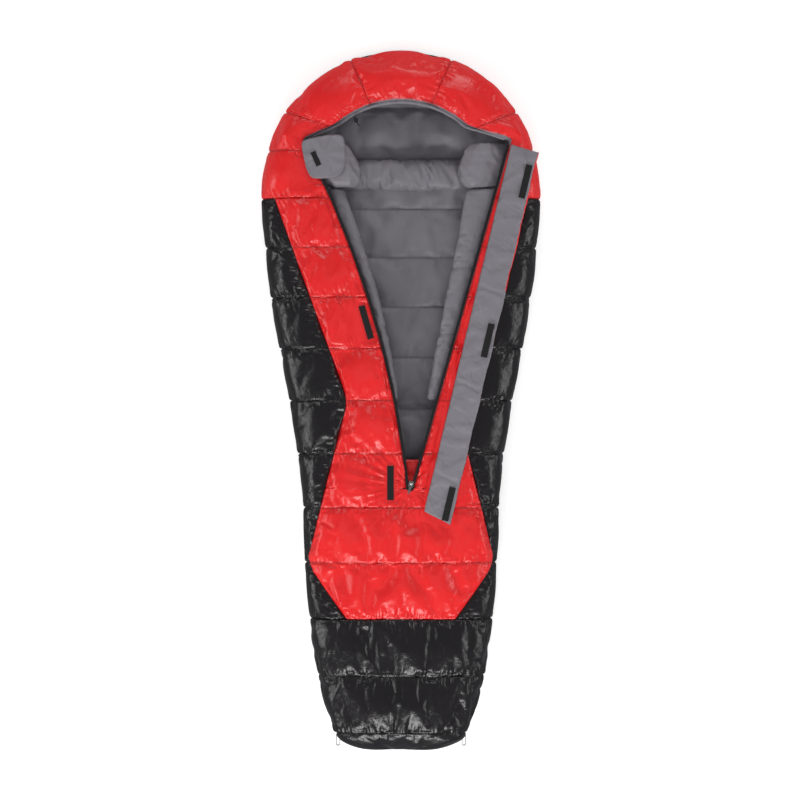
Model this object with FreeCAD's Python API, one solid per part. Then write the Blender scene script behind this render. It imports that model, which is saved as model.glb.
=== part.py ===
"""Mummy sleeping bag with a centre zip, laid open on the ground, as an assembly of sewn panels.

Millimetres. +Z is up, +Y runs from the foot to the hood, and the origin is under the middle of the bag, on the
ground. The quilts are box walled: an outer shell, down chambers split by baffle walls, and a lining.
"""
import FreeCAD
import Part
import math
import os

V = FreeCAD.Vector

# ---- overall size ----
bag_length = 2150.0
shoulder_half_width = 425.0
chest_half_width = 393.0
hip_half_width = 338.0
thigh_half_width = 298.0
knee_half_width = 290.0
calf_half_width = 267.0
ankle_half_width = 240.0
foot_half_width = 201.0
top_height = 200.0
foot_height = 176.0

# ---- quilts ----
base_loft = 50.0
quilt_loft = 48.0
skin = 1.5
gap = 0.4
baffle_wall = 1.2
ring_count = 10
ring_taper = 28.0
foot_cap_depth = 49.0
hood_depth = 461.0
hood_power = 2.15

# ---- zip and opening ----
zip_bottom_x = 28.0
zip_below_neck = 884.0
zip_above_neck = 180.0
zip_left_top_x = -291.0
zip_left_bow = 212.0
zip_right_top_x = 328.0
meshed_gap = 6.0
tape_width = 9.0
tape_thickness = 1.2
tooth_width = 4.0
tooth_height = 4.0
zip_drop = 2.6
zip_end_drop = 18.0

# ---- hood ----
rim_radius = 302.0
binding_width = 14.0
binding_height = 11.0
drawcord_diameter = 3.0

# ---- red centre panel, as half widths ----
panel_bottom_half = 166.0
panel_waist_half = 162.0
panel_shoulder_half = 389.0

# ---- storm flap ----
flap_gap_low = 40.0
flap_gap_high = 7.0
flap_below_zip = 73.0
flap_top_drop = 15.0
flap_width = 92.0
flap_thickness = 14.0
flap_lift = 1.0
hook_width = 20.0
hook_length = 105.0
patch_thickness = 1.5
patch_inset = 12.0

# ---- collar ----
collar_depth = 97.0
collar_loft = 44.0
tab_width = 138.0
tab_length = 138.0
tab_thickness = 12.0
collar_side_width = 128.0

# ---- slider and pulls ----
slider_length = 18.0
slider_width = 15.0
slider_plate = 2.0
slider_play = 0.5
pin_diameter = 2.0
pin_play = 0.1
pull_length = 30.0
inner_pull_length = 22.0
pull_width = 8.0
pull_thickness = 1.6

# ---- cord lock on the hood's drawcord ----
lock_diameter = 14.0
lock_height = 22.0
lock_bore = 10.4
lock_travel = 4.0
lock_angle = 30.0
plunger_play = 0.2
cord_play = 0.6
tail_length = 40.0
spring_wire = 0.8
spring_turns = 3.5

# ---- hang loops ----
loop_length = 34.0
loop_width = 12.0
loop_band = 1.6
loop_opening = 9.0
loop_inset = 7.0
loop_height = 88.0


# ================= plan of the bag =================

foot_seam_y = -bag_length / 2 + foot_cap_depth
head_end_y = bag_length / 2
neck_y = head_end_y - hood_depth
zip_bottom_y = neck_y - zip_below_neck
zip_top_y = neck_y + zip_above_neck


def ring_seams():
    """Seam places from the foot seam to the neck, with rings that get shorter towards the neck."""
    seams = [foot_seam_y]
    for i in range(ring_count):
        pitch = (neck_y - foot_seam_y) / ring_count
        seams.append(seams[-1] + pitch + ring_taper * (0.5 - i / (ring_count - 1)))
    return seams


ring_ys = ring_seams()
panel_bottom_y = ring_ys[2]
panel_knee_y = ring_ys[3]
waist_y = ring_ys[6]

# Half widths at places named after the sleeper's body, by their share of the way from the foot seam to the neck.
width_places = [(foot_seam_y + share * (neck_y - foot_seam_y), width) for share, width in (
    (0.0, foot_half_width),
    (0.077, ankle_half_width),
    (0.162, calf_half_width),
    (0.321, knee_half_width),
    (0.452, thigh_half_width),
    (0.626, hip_half_width),
    (0.809, chest_half_width),
    (1.0, shoulder_half_width),
)]


def half_width(y):
    """The plan's half width at y: smooth between the named places, and a rounded hood above the neck."""
    if y >= neck_y:
        share = min(1.0, (y - neck_y) / hood_depth)
        return shoulder_half_width * (1 - share ** hood_power) ** (1 / hood_power)
    places = width_places
    i = max(k for k in range(len(places) - 1) if places[k][0] <= y + 1e-6)
    (y0, w0), (y1, w1) = places[i], places[i + 1]
    before = places[max(i - 1, 0)]
    after = places[min(i + 2, len(places) - 1)]
    slope0 = (w1 - before[1]) / (y1 - before[0])
    slope1 = (after[1] - w0) / (after[0] - y0)
    t = (y - y0) / (y1 - y0)
    step = y1 - y0
    return ((2 * t ** 3 - 3 * t ** 2 + 1) * w0 + (t ** 3 - 2 * t ** 2 + t) * step * slope0
            + (3 * t ** 2 - 2 * t ** 3) * w1 + (t ** 3 - t ** 2) * step * slope1)


def zip_share(y):
    return (y - zip_bottom_y) / (zip_top_y - zip_bottom_y)


def zip_left_x(y):
    """The tooth line of the left tape: a bow from the slider out to the neck."""
    t = zip_share(y)
    start = zip_bottom_x - meshed_gap / 2
    return start + (zip_left_top_x - start) * t + zip_left_bow * (t - t * t)


def zip_right_x(y):
    """The tooth line of the right tape, which is straight, so that the slider can run along it."""
    start = zip_bottom_x + meshed_gap / 2
    return start + (zip_right_top_x - start) * zip_share(y)


def edge_x(y, side):
    """The quilt's edge beside the zip, or the middle of the closed front below it."""
    if y < zip_bottom_y - 1e-6:
        return 0.0
    if side < 0:
        return zip_left_x(y) - tape_width
    return zip_right_x(y) + tape_width


# ================= stations: vertical sections of one side of the top quilt =================

zb = base_loft + gap


class Station:
    """A vertical section from the silhouette point, along `inward` in plan, for `span` to the quilt's edge."""

    def __init__(self, silhouette, edge, height=top_height):
        self.foot = V(silhouette[0], silhouette[1], 0)
        along = V(edge[0], edge[1], 0) - self.foot
        self.span = along.Length
        self.inward = along.multiply(1 / self.span)
        stretch = (height - zb) / (top_height - zb)
        shoulder = min(75.0, 0.55 * self.span)
        inner_shoulder = min(95.0, quilt_loft + 0.3 * self.span)
        rise = top_height - quilt_loft
        outer = [(12, zb), (0, 95), (20, 150), (shoulder, top_height - 10), (self.span, top_height)]
        inner = [(12 + quilt_loft, zb), (quilt_loft + 1, 98), (quilt_loft + 12, rise - 27),
                 (inner_shoulder, rise - 9), (self.span, rise)]
        inner = [(min(d, self.span), z) for d, z in inner]
        self.outer = [self.place(d, zb + (z - zb) * stretch) for d, z in outer]
        self.inner = [self.place(d, zb + (z - zb) * stretch) for d, z in inner]

    def place(self, distance, z):
        return self.foot + self.inward * distance + V(0, 0, z)

    def row(self, points, start, end):
        """The points from place `start` to place `end` along a row, where a place may lie between two points."""
        def at(j):
            k = min(int(j), len(points) - 2)
            return points[k] + (points[k + 1] - points[k]) * (j - k)
        inside = [j for j in range(len(points)) if start + 1e-6 < j < end - 1e-6]
        return [at(j) for j in [start] + inside + [end]]

    def layer(self, start, end, depth0, depth1):
        """Two rows of points: the outer and inner side of a layer, at depths from 0, outside, to 1, inside."""
        outs = self.row(self.outer, start, end)
        ins = self.row(self.inner, start, end)
        return ([o + (i - o) * depth0 for o, i in zip(outs, ins)],
                [o + (i - o) * depth1 for o, i in zip(outs, ins)])

    def loop(self, start, end, depth0, depth1):
        near, far = self.layer(start, end, depth0, depth1)
        return near + far[::-1]


def height_at(y):
    """The bag is lower at the feet."""
    share = min(1.0, (y - foot_seam_y) / (panel_knee_y - foot_seam_y))
    return foot_height + (top_height - foot_height) * share


def body_station(y, side):
    return Station((side * half_width(y), y), (edge_x(y, side), y), height_at(y))


def open_station(y, side):
    """A station just above the zip's bottom, where the quilt's edge leaves the middle."""
    x = zip_bottom_x + side * (meshed_gap / 2 + tape_width)
    return Station((side * half_width(y), y), (x, y))


def rim_distance(angle, side):
    """How far the hood's rim, or the quilt's edge beside the zip, is from the neck's middle, in this direction."""
    top = V(zip_left_top_x - tape_width, zip_top_y, 0) if side < 0 else V(zip_right_top_x + tape_width, zip_top_y, 0)
    low = V(edge_x(neck_y, side), neck_y, 0)
    top_angle = math.degrees(math.atan2(abs(top.x), top.y - neck_y))
    top_distance = math.hypot(top.x, top.y - neck_y)
    if angle >= top_angle:
        way = V(side * math.sin(math.radians(angle)), math.cos(math.radians(angle)), 0)
        line = top - low
        across = way.x * line.y - way.y * line.x
        return (low.x * line.y) / across
    flare_start = 0.72 * top_angle
    if angle <= flare_start:
        return rim_radius
    return rim_radius + (top_distance - rim_radius) * (angle - flare_start) / (top_angle - flare_start)


def top_angle(side):
    x = -zip_left_top_x if side < 0 else zip_right_top_x
    return math.degrees(math.atan2(x + tape_width, zip_top_y - neck_y))


def hood_station(outer_angle, rim_angle, side):
    a, b = math.radians(outer_angle), math.radians(rim_angle)
    power = hood_power
    reach = ((math.sin(a) / shoulder_half_width) ** power + (math.cos(a) / hood_depth) ** power) ** (-1 / power)
    distance = rim_distance(rim_angle, side)
    return Station((side * reach * math.sin(a), neck_y + reach * math.cos(a)),
                   (side * distance * math.sin(b), neck_y + distance * math.cos(b)))


# ================= solids through rows of loops =================

def flat_faces(a, b, c, d):
    """The face or faces on four corners, given round the edge."""
    corners = [a, b, c, d]
    kept = [p for i, p in enumerate(corners) if (p - corners[i - 1]).Length > 1e-6]
    if len(kept) < 3:
        return []
    normal = (kept[1] - kept[0]).cross(kept[2] - kept[0])
    if len(kept) == 3:
        return [Part.Face(Part.makePolygon(kept + kept[:1]))]
    if abs((kept[3] - kept[0]).dot(normal)) / max(normal.Length, 1e-9) < 1e-7:
        return [Part.Face(Part.makePolygon(kept + kept[:1]))]
    return [Part.Face(Part.makePolygon([a, b, c, a])), Part.Face(Part.makePolygon([a, c, d, a]))]


def closed(faces):
    shell = Part.makeShell(faces)
    solid = Part.makeSolid(shell)
    if solid.Volume < 0:
        solid.reverse()
    return solid


def end_faces(loop):
    """The end of a solid: a row of four sided faces from the loop's first half to its second."""
    last = len(loop) - 1
    faces = []
    for i in range(len(loop) // 2 - 1):
        faces += flat_faces(loop[i], loop[i + 1], loop[last - i - 1], loop[last - i])
    return faces


def through(loops):
    """A solid through a row of loops with the same even number of points, flat between them.

    A face that isn't flat splits along the diagonal from its lower near corner, so layers keep their distance.
    """
    faces = end_faces(loops[0]) + end_faces(loops[-1])
    for near, far in zip(loops, loops[1:]):
        for i in range(len(near)):
            if near[i - 1].z <= near[i].z:
                faces += flat_faces(near[i - 1], near[i], far[i], far[i - 1])
            else:
                faces += flat_faces(near[i], far[i], far[i - 1], near[i - 1])
    return closed(faces)


def between(loop_a, loop_b, distance):
    """The loop that lies `distance` from loop_a on the way to loop_b."""
    step = max((q - p).Length for p, q in zip(loop_a, loop_b))
    return [p + (q - p) * (distance / step) for p, q in zip(loop_a, loop_b)]


def chamber(loops):
    """A down chamber: the solid through the loops, held back from the baffle wall at each end."""
    room = baffle_wall / 2 + gap
    first = between(loops[0], loops[1], room)
    last = between(loops[-1], loops[-2], room)
    return through([first] + loops[1:-1] + [last])


def wall(loop, before, after):
    """A baffle wall along a loop, half of it on each side."""
    half = baffle_wall / 2
    return through([between(loop, before, half), between(loop, after, half)])


def box(low, high):
    size = V(*high) - V(*low)
    return Part.makeBox(size.x, size.y, size.z, V(*low))


def strip(points, width, z0, z1, side):
    """A flat strip along a line in plan, from the line for `width` towards `side` in x."""
    loops = [[V(x, y, z0), V(x + side * width, y, z0), V(x + side * width, y, z1), V(x, y, z1)] for x, y in points]
    return through(loops)


os.makedirs("parts", exist_ok=True)


def save(name, *solids):
    shape = solids[0] if len(solids) == 1 else Part.makeCompound(list(solids))
    shape.exportStep(f"parts/{name}.step")


# Depths of the layers, as shares of the quilt's loft.
shell_depth = skin / quilt_loft
down_top = (skin + gap) / quilt_loft
down_bottom = 1 - down_top
lining_depth = 1 - shell_depth

# Places along a section's rows: 0 at the base, 3 at the shoulder between side and top, 4 at the edge.
base_place = 0.0
side_top = 3.0
edge_place = 4.0
join = 0.02


# ================= base quilt =================

def base_loop(y, inset, z0, z1):
    """A section of the base quilt between two heights, held `inset` inside its sloping sides."""
    w = half_width(y)
    low_half, high_half = w - 45, w - 12

    def at(z):
        return low_half + (high_half - low_half) * z / base_loft - inset
    return [V(-at(z0), y, z0), V(at(z0), y, z0), V(at(z1), y, z1), V(-at(z1), y, z1)]


hood_base_seams = [neck_y + 0.32 * hood_depth, neck_y + 0.63 * hood_depth]
crown_ys = [neck_y + share * hood_depth for share in (0.8, 0.91, 0.97)]
last_base_y = head_end_y - 5
base_seams = ring_ys + hood_base_seams


def base_tray(y):
    """The base shell's section: a shallow tray, open at the top."""
    outer = base_loop(y, 0, 0, base_loft - skin - gap)
    inner = base_loop(y, 1.2 * skin, skin, base_loft - skin - gap)
    return [outer[3], outer[0], outer[1], outer[2], inner[2], inner[1], inner[0], inner[3]]


tray_ys = base_seams + crown_ys + [last_base_y]
save("base_shell", through([base_tray(y) for y in tray_ys]).removeSplitter())
save("base_lining", through([base_loop(y, 0, base_loft - skin, base_loft) for y in tray_ys]).removeSplitter())

down_inset = 1.2 * skin + gap
base_chambers = []
base_loops = [base_loop(y, down_inset, skin + gap, base_loft - skin - gap) for y in base_seams]
for near, far in zip(base_loops, base_loops[1:]):
    base_chambers.append(chamber([near, far]))
crown_loops = [base_loop(y, down_inset, skin + gap, base_loft - skin - gap)
               for y in [base_seams[-1]] + crown_ys + [last_base_y]]
base_chambers.append(chamber(crown_loops))
save("base_down", *base_chambers)
save("base_baffle_walls", *[wall(base_loops[i], base_loops[i - 1], base_loops[i + 1])
                            for i in range(1, len(base_loops) - 1)],
     wall(base_loops[-1], base_loops[-2], crown_loops[1]))


# ================= top quilts, foot to neck =================

closed_ys = [y for y in ring_ys if y < zip_bottom_y]
open_ys = [y for y in ring_ys if y > zip_bottom_y]
split_y = zip_bottom_y - 12

closed_stations = {s: [body_station(y, s) for y in closed_ys] + [body_station(split_y, s)] for s in (-1, 1)}
open_stations = {s: [open_station(split_y + gap, s)] + [body_station(y, s) for y in open_ys] for s in (-1, 1)}


def half_skin(stations, depth0, depth1):
    return through([s.loop(base_place, edge_place, depth0, depth1) for s in stations])


def plan_prism(points):
    """A tall prism on a plan outline, to cut the shells along the seams between the colours."""
    corners = [V(x, y, -10) for x, y in points]
    return Part.Face(Part.makePolygon(corners + corners[:1])).extrude(V(0, 0, top_height + 60))


wide = shoulder_half_width + 100
foot_zone = plan_prism([(-wide, foot_seam_y - 10), (wide, foot_seam_y - 10), (wide, panel_bottom_y),
                        (-wide, panel_bottom_y)])
panel_right = [(panel_bottom_half, panel_bottom_y), (half_width(panel_knee_y) + 2, panel_knee_y),
               (panel_waist_half, waist_y), (panel_shoulder_half, neck_y)]
centre_zone = plan_prism(panel_right + [(panel_shoulder_half, neck_y + 5), (-panel_shoulder_half, neck_y + 5)]
                         + [(-x, y) for x, y in panel_right[::-1]])

shells = {}
for side in (-1, 1):
    low = half_skin(closed_stations[side], 0, shell_depth)
    high = half_skin(open_stations[side], 0, shell_depth)
    shells[side] = (low, high)

save("foot_shell", shells[-1][0].common(foot_zone).fuse(shells[1][0].common(foot_zone)).removeSplitter())
leg_panel = shells[-1][0].common(centre_zone).fuse(shells[1][0].common(centre_zone))
save("leg_shell", leg_panel.removeSplitter())
for side, word in ((-1, "left"), (1, "right")):
    low, high = shells[side]
    save(f"chest_shell_{word}", high.common(centre_zone))
    save(f"side_shell_{word}", low.cut(foot_zone).cut(centre_zone), high.cut(centre_zone))
    save(f"top_lining_{word}", half_skin(closed_stations[side], lining_depth, 1),
         half_skin(open_stations[side], lining_depth, 1))


def down_loops(stations, start, end, room=gap):
    depth = (skin + room) / quilt_loft
    return [s.loop(start, end, depth, 1 - depth) for s in stations]


def closed_top_loops():
    """Loops of the closed front, from the left shoulder over the middle to the right one."""
    loops = []
    for left, right in zip(closed_stations[-1], closed_stations[1]):
        near_l, far_l = left.layer(side_top + join, edge_place, down_top, down_bottom)
        near_r, far_r = right.layer(side_top + join, edge_place, down_top, down_bottom)
        loops.append(near_l + near_r[::-1][1:] + far_r + far_l[::-1][1:])
    return loops


for side, word in ((-1, "left"), (1, "right")):
    low_side = down_loops(closed_stations[side], base_place, side_top - join)
    high_side = down_loops(open_stations[side], base_place, side_top - join)
    high_top = down_loops(open_stations[side], side_top + join, edge_place)
    rows = [low_side[i:i + 2] for i in range(len(low_side) - 1)]
    rows += [high_side[i:i + 2] for i in range(len(high_side) - 1)]
    save(f"side_down_{word}", *[chamber(pair) for pair in rows])
    save(f"chest_down_{word}", *[chamber(high_top[i:i + 2]) for i in range(len(high_top) - 1)])
    walls = []
    for loops in (low_side, high_side, high_top):
        walls += [wall(loops[i], loops[i - 1], loops[i + 1]) for i in range(1, len(loops) - 1)]
    save(f"front_baffle_walls_{word}", *walls)

closed_top = closed_top_loops()
foot_rings = 2
save("foot_down", *[chamber(closed_top[i:i + 2]) for i in range(foot_rings)])
save("leg_down", *[chamber(closed_top[i:i + 2]) for i in range(foot_rings, len(closed_top) - 1)])
save("leg_baffle_walls", *[wall(closed_top[i], closed_top[i - 1], closed_top[i + 1])
                           for i in range(1, len(closed_top) - 1)])


# ================= foot end =================

def foot_outline(y, scale, inset=0.0):
    """The whole outline of the foot's end, shrunk about its middle."""
    w = half_width(foot_seam_y)
    top = foot_height
    half = [(w - 45, 0), (w - 12, base_loft), (w, 95 * top / top_height), (w - 20, 150 * top / top_height),
            (w - 75, top - 10)]
    ring = half + [(-x, z) for x, z in half[::-1]]
    middle = top / 2
    grown = [(x * scale, middle + (z - middle) * scale) for x, z in ring]
    return [V(x * (1 - inset / w), y, middle + (z - middle) * (1 - 2 * inset / top)) for x, z in grown]


cap_back_y = foot_seam_y - gap
cap_loops = [(0.0, 1.0), (0.62, 0.9), (1.0, 0.6)]
cap_solid = through([foot_outline(cap_back_y - share * (foot_cap_depth - gap), scale) for share, scale in cap_loops])
hollow_loops = [foot_outline(cap_back_y + 1, 1.0, 2 * skin)]
hollow_loops += [foot_outline(cap_back_y - share * (foot_cap_depth - gap - 2 * skin), scale, 2 * skin)
                 for share, scale in cap_loops[1:]]
save("foot_end_shell", cap_solid.cut(through(hollow_loops)))
save("foot_end_lining", through([foot_outline(y, 1.0, 3 * skin + gap) for y in (cap_back_y, cap_back_y - skin)]))
fill_start = cap_back_y - skin - gap
fill_loops = [foot_outline(fill_start - share * (foot_cap_depth - 4 * skin - 3 * gap), scale, 3 * skin + 3 * gap)
              for share, scale in cap_loops]
save("foot_end_down", through(fill_loops))


# ================= hood =================

# Seams of the hood, as angles from straight ahead at the silhouette and at the rim.
def hood_stations(side):
    top = top_angle(side)
    seams = [(90, 90), (70, top + 4)], [(70, top + 4), (62, top), (53, 0.76 * top)], \
        [(53, 0.76 * top), (37, 31), (20, 18)], [(20, 18), (10, 9), (0, 0)]
    return [[hood_station(a, b, side) for a, b in part] for part in seams]


def joined(parts):
    """One row of stations from parts that share their end stations."""
    row = list(parts[0])
    for part in parts[1:]:
        row += part[1:]
    return row


hood_parts = {side: hood_stations(side) for side in (-1, 1)}
hood_row = joined(hood_parts[-1]) + joined(hood_parts[1])[::-1][1:]
save("hood_shell", through([s.loop(base_place, edge_place, 0, shell_depth) for s in hood_row]))
save("hood_lining", through([s.loop(base_place, edge_place, lining_depth, 1) for s in hood_row]))
hood_pieces = hood_parts[-1][:3] + [hood_parts[-1][3] + hood_parts[1][3][::-1][1:]]
hood_pieces += [part[::-1] for part in hood_parts[1][:3][::-1]]
for name, start, end in (("hood_side_down", base_place, side_top - join), ("hood_top_down", side_top + join, edge_place)):
    save(name, *[chamber(down_loops(part, start, end, 3 * gap)) for part in hood_pieces])
hood_walls = []
for start, end in ((base_place, side_top - join), (side_top + join, edge_place)):
    ends = [down_loops(part, start, end, 3 * gap) for part in hood_pieces]
    hood_walls += [wall(part[-1], part[-2], after[1]) for part, after in zip(ends, ends[1:])]
save("hood_baffle_walls", *hood_walls)


# ================= hood rim: binding and drawcord =================

rim_z0 = top_height - quilt_loft / 2 - binding_height / 2
rim = [s for s in hood_row if s.foot.y > zip_top_y]


def rim_loop(station, inset):
    near, far = gap + inset, gap + binding_width - inset
    low, high = rim_z0 + inset, rim_z0 + binding_height - inset
    return [station.place(station.span + d, z) for d, z in ((near, low), (far, low), (far, high), (near, high))]


channel = through([rim_loop(s, 0) for s in rim])
channel_hole = through([rim_loop(s, skin) for s in rim])
cord_half = drawcord_diameter / 2
cord_z = rim_z0 + binding_height / 2


def toward_face(distance):
    """The place on the cord's tail that is this far from the rim, towards the face opening."""
    a = math.radians(lock_angle)
    reach = rim_distance(lock_angle, -1) - gap - binding_width / 2 - distance
    return V(-reach * math.sin(a), neck_y + reach * math.cos(a), cord_z)


inward = (toward_face(1) - toward_face(0)).normalize()
tail_hole = Part.makeCylinder(cord_half + cord_play, 2 * binding_width, toward_face(0), inward)
save("hood_rim_binding", channel.cut(channel_hole).cut(tail_hole))


def cord_loop(station):
    centre_d, centre_z = gap + binding_width / 2, cord_z
    ring = []
    for k in range(8):
        a = math.radians(45 * k + 22.5)
        ring.append(station.place(station.span + centre_d + cord_half * math.cos(a), centre_z + cord_half * math.sin(a)))
    return ring


tail = Part.makeCylinder(cord_half, tail_length, toward_face(0), inward)
save("hood_drawcord", through([cord_loop(s) for s in rim]).fuse(tail))

# The lock: a barrel with a sprung plunger, whose cross hole grips the cord's tail.
lock = toward_face(binding_width / 2 + 5 + lock_diameter / 2)
lock_low = cord_z - 0.62 * lock_height
floor = 2.0
plunger_low = cord_z - cord_half - 0.1 - 2.5
plunger_high = lock_low + lock_height + lock_travel + 1.5
plunger_radius = lock_bore / 2 - plunger_play
barrel = Part.makeCylinder(lock_diameter / 2, lock_height, V(lock.x, lock.y, lock_low))
barrel = barrel.cut(Part.makeCylinder(lock_bore / 2, lock_height, V(lock.x, lock.y, lock_low + floor)))
cross = Part.makeCylinder(cord_half + cord_play, 3 * lock_diameter, lock - inward * 1.5 * lock_diameter, inward)
save("cord_lock_barrel", barrel.cut(cross))
plunger = Part.makeCylinder(plunger_radius, plunger_high - plunger_low, V(lock.x, lock.y, plunger_low))
plunger = plunger.fuse(Part.makeCylinder(lock_diameter / 2, 1.2, V(lock.x, lock.y, plunger_high)))
slot = box((-cord_half - cord_play, -lock_diameter, -cord_half - 0.1),
           (cord_half + cord_play, lock_diameter, cord_half + lock_travel + 0.6))
slot.rotate(V(0, 0, 0), V(0, 0, 1), math.degrees(math.atan2(inward.y, inward.x)) - 90)
slot.translate(lock)
save("cord_lock_plunger", plunger.cut(slot))


def coil_loop(share):
    """A square section of the spring's wire at this share of its height."""
    a = 2 * math.pi * spring_turns * share
    low, high = lock_low + floor + gap + spring_wire / 2, plunger_low - gap - spring_wire / 2
    z = low + (high - low) * share
    half = spring_wire / 2
    mid = plunger_radius - 1.2
    return [V(lock.x + (mid + r) * math.cos(a), lock.y + (mid + r) * math.sin(a), z + h)
            for r, h in ((-half, -half), (half, -half), (half, half), (-half, half))]


coil_steps = int(spring_turns * 14)
save("cord_lock_spring", through([coil_loop(k / coil_steps) for k in range(coil_steps + 1)]))


# ================= zip =================

tape_z = top_height - zip_drop
tooth_z = tape_z + tape_thickness / 2
zip_start_y = zip_bottom_y - 8
zip_end_y = zip_top_y - zip_end_drop
right_ways = [(zip_right_x(y), y) for y in (zip_start_y, zip_end_y)]
left_ys = [zip_bottom_y] + open_ys + [(neck_y + zip_top_y) / 2, zip_end_y]
left_ways = [(zip_left_x(zip_bottom_y), zip_start_y)] + [(zip_left_x(y), y) for y in left_ys]
for word, ways, side in (("left", left_ways, -1), ("right", right_ways, 1)):
    tape_line = [(x + side * (tooth_width + 0.2), y) for x, y in ways]
    save(f"zip_tape_{word}", strip(tape_line, tape_width - tooth_width - 0.2 - gap, tape_z, tape_z + tape_thickness, side))
    save(f"zip_teeth_{word}", strip(ways, tooth_width, tooth_z - tooth_height / 2, tooth_z + tooth_height / 2, side))

stop_reach = meshed_gap / 2 + tooth_width
low_stop = box((zip_bottom_x - stop_reach, zip_start_y - 3.5, tooth_z - 2.5),
               (zip_bottom_x + stop_reach, zip_start_y - gap, tooth_z + 2.5))
top_stops = [strip([(x, zip_end_y + gap), (x, zip_end_y + 5)], tooth_width + 1, tooth_z - 2.5, tooth_z + 2.5, side)
             for x, side in ((zip_left_x(zip_end_y), -1), (zip_right_x(zip_end_y), 1))]
save("zip_stops", low_stop, *top_stops)

# The slider's own frame: its origin on the chain's middle at the bottom, its +Y along the right tape.
run = V(zip_right_top_x - zip_right_x(zip_bottom_y), zip_top_y - zip_bottom_y, 0)
lean = math.degrees(math.atan2(run.x, run.y))


def on_zip(shape):
    turned = shape.copy()
    turned.rotate(V(0, 0, 0), V(0, 0, 1), -lean)
    turned.translate(V(zip_bottom_x, zip_bottom_y, tooth_z))
    return turned


channel_half = tooth_height / 2 + slider_play
half_slider = slider_width / 2
post_half = meshed_gap / 2 - 1.4
plate_top = channel_half + slider_plate
top_plate = box((-half_slider, 2, channel_half), (half_slider, 2 + slider_length, plate_top))
bottom_plate = box((-half_slider, 2, -plate_top), (half_slider, 2 + slider_length, -channel_half))
post = box((-post_half, slider_length - 4, -channel_half), (post_half, slider_length + 1, channel_half))
pin_radius = pin_diameter / 2
eye_radius = pin_radius + pin_play + 1.2
pin_rise = plate_top + eye_radius + 0.4
pin_y = 2 + slider_length / 2
lug_inner = pull_width / 2 + 0.3
lug_thickness = 1.6


def lugs_and_pin(up):
    """Two lugs on a plate and the pin between them that a pull turns on; up is 1 above and -1 below."""
    pieces = []
    for side in (-1, 1):
        x0, x1 = sorted((side * lug_inner, side * (lug_inner + lug_thickness)))
        z0, z1 = sorted((up * plate_top, up * (pin_rise + pin_radius + 0.5)))
        pieces.append(box((x0, pin_y - 2, z0), (x1, pin_y + 2, z1)))
    pieces.append(Part.makeCylinder(pin_radius, 2 * lug_inner + lug_thickness,
                                    V(-lug_inner - lug_thickness / 2, pin_y, up * pin_rise), V(1, 0, 0)))
    return pieces


slider = top_plate.multiFuse([bottom_plate, post] + lugs_and_pin(1) + lugs_and_pin(-1))
save("zip_slider", on_zip(slider.removeSplitter()))


def pull(centre, way, length):
    """A pull tab: an eye round the pin and a flat tab along `way`, with a hole near its end."""
    eye = Part.makeCylinder(eye_radius, pull_width, centre - V(pull_width / 2, 0, 0), V(1, 0, 0))
    tab = box((-pull_width / 2, 0, -pull_thickness / 2), (pull_width / 2, length, pull_thickness / 2))
    hole = Part.makeCylinder(1.8, pull_thickness * 3, V(0, length - 5, -pull_thickness * 1.5), V(0, 0, 1))
    tab = tab.cut(hole)
    tab.rotate(V(0, 0, 0), V(1, 0, 0), math.degrees(math.atan2(way.z, way.y)))
    tab.translate(centre)
    bore = Part.makeCylinder(pin_radius + pin_play, pull_width + 2, centre - V(pull_width / 2 + 1, 0, 0), V(1, 0, 0))
    return eye.fuse(tab).cut(bore)


save("outer_pull", on_zip(pull(V(0, pin_y, pin_rise), V(0, -1, 0), pull_length)))
save("inner_pull", on_zip(pull(V(0, pin_y, -pin_rise), V(0, 0, -1), inner_pull_length)))

# The red gusset under the zip's lower end, between the two quilt edges.
gusset_ys = (split_y + 2, zip_bottom_y + 86)
gusset_z = top_height - quilt_loft
save("zip_end_gusset", through([[V(edge_x(max(y, zip_bottom_y), -1) + 1, y, gusset_z - skin),
                                 V(edge_x(max(y, zip_bottom_y), 1) - 1, y, gusset_z - skin),
                                 V(edge_x(max(y, zip_bottom_y), 1) - 1, y, gusset_z),
                                 V(edge_x(max(y, zip_bottom_y), -1) + 1, y, gusset_z)] for y in gusset_ys]))


# ================= draft tubes and collar =================

tube_top = tooth_z - pin_rise - inner_pull_length - 5.5
tube_low = tube_top - 38
collar_y = neck_y + 30
collar_side_y = collar_y + 4


def tube_loop(y, side, width):
    """A draft tube's section: eight sided, from the quilt's edge into the opening."""
    x = edge_x(y, side) - side * gap
    bite = 0.3
    ring = [(0.0, bite), (0.0, 1 - bite), (bite, 1.0), (1 - bite, 1.0), (1.0, 1 - bite), (1.0, bite),
            (1 - bite, 0.0), (bite, 0.0)]
    return [V(x - side * width * a, y, tube_low + (tube_top - tube_low) * b) for a, b in ring]


tube_ys = [waist_y] + [y for y in open_ys if y > waist_y] + [collar_side_y - gap]
for word, side, low_width, high_width in (("left", -1, 16, 54), ("right", 1, 36, 92)):
    widths = [low_width + (high_width - low_width) * (y - tube_ys[0]) / (tube_ys[-1] - tube_ys[0]) for y in tube_ys]
    save(f"draft_tube_{word}", through([tube_loop(y, side, w) for y, w in zip(tube_ys, widths)]))

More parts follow.
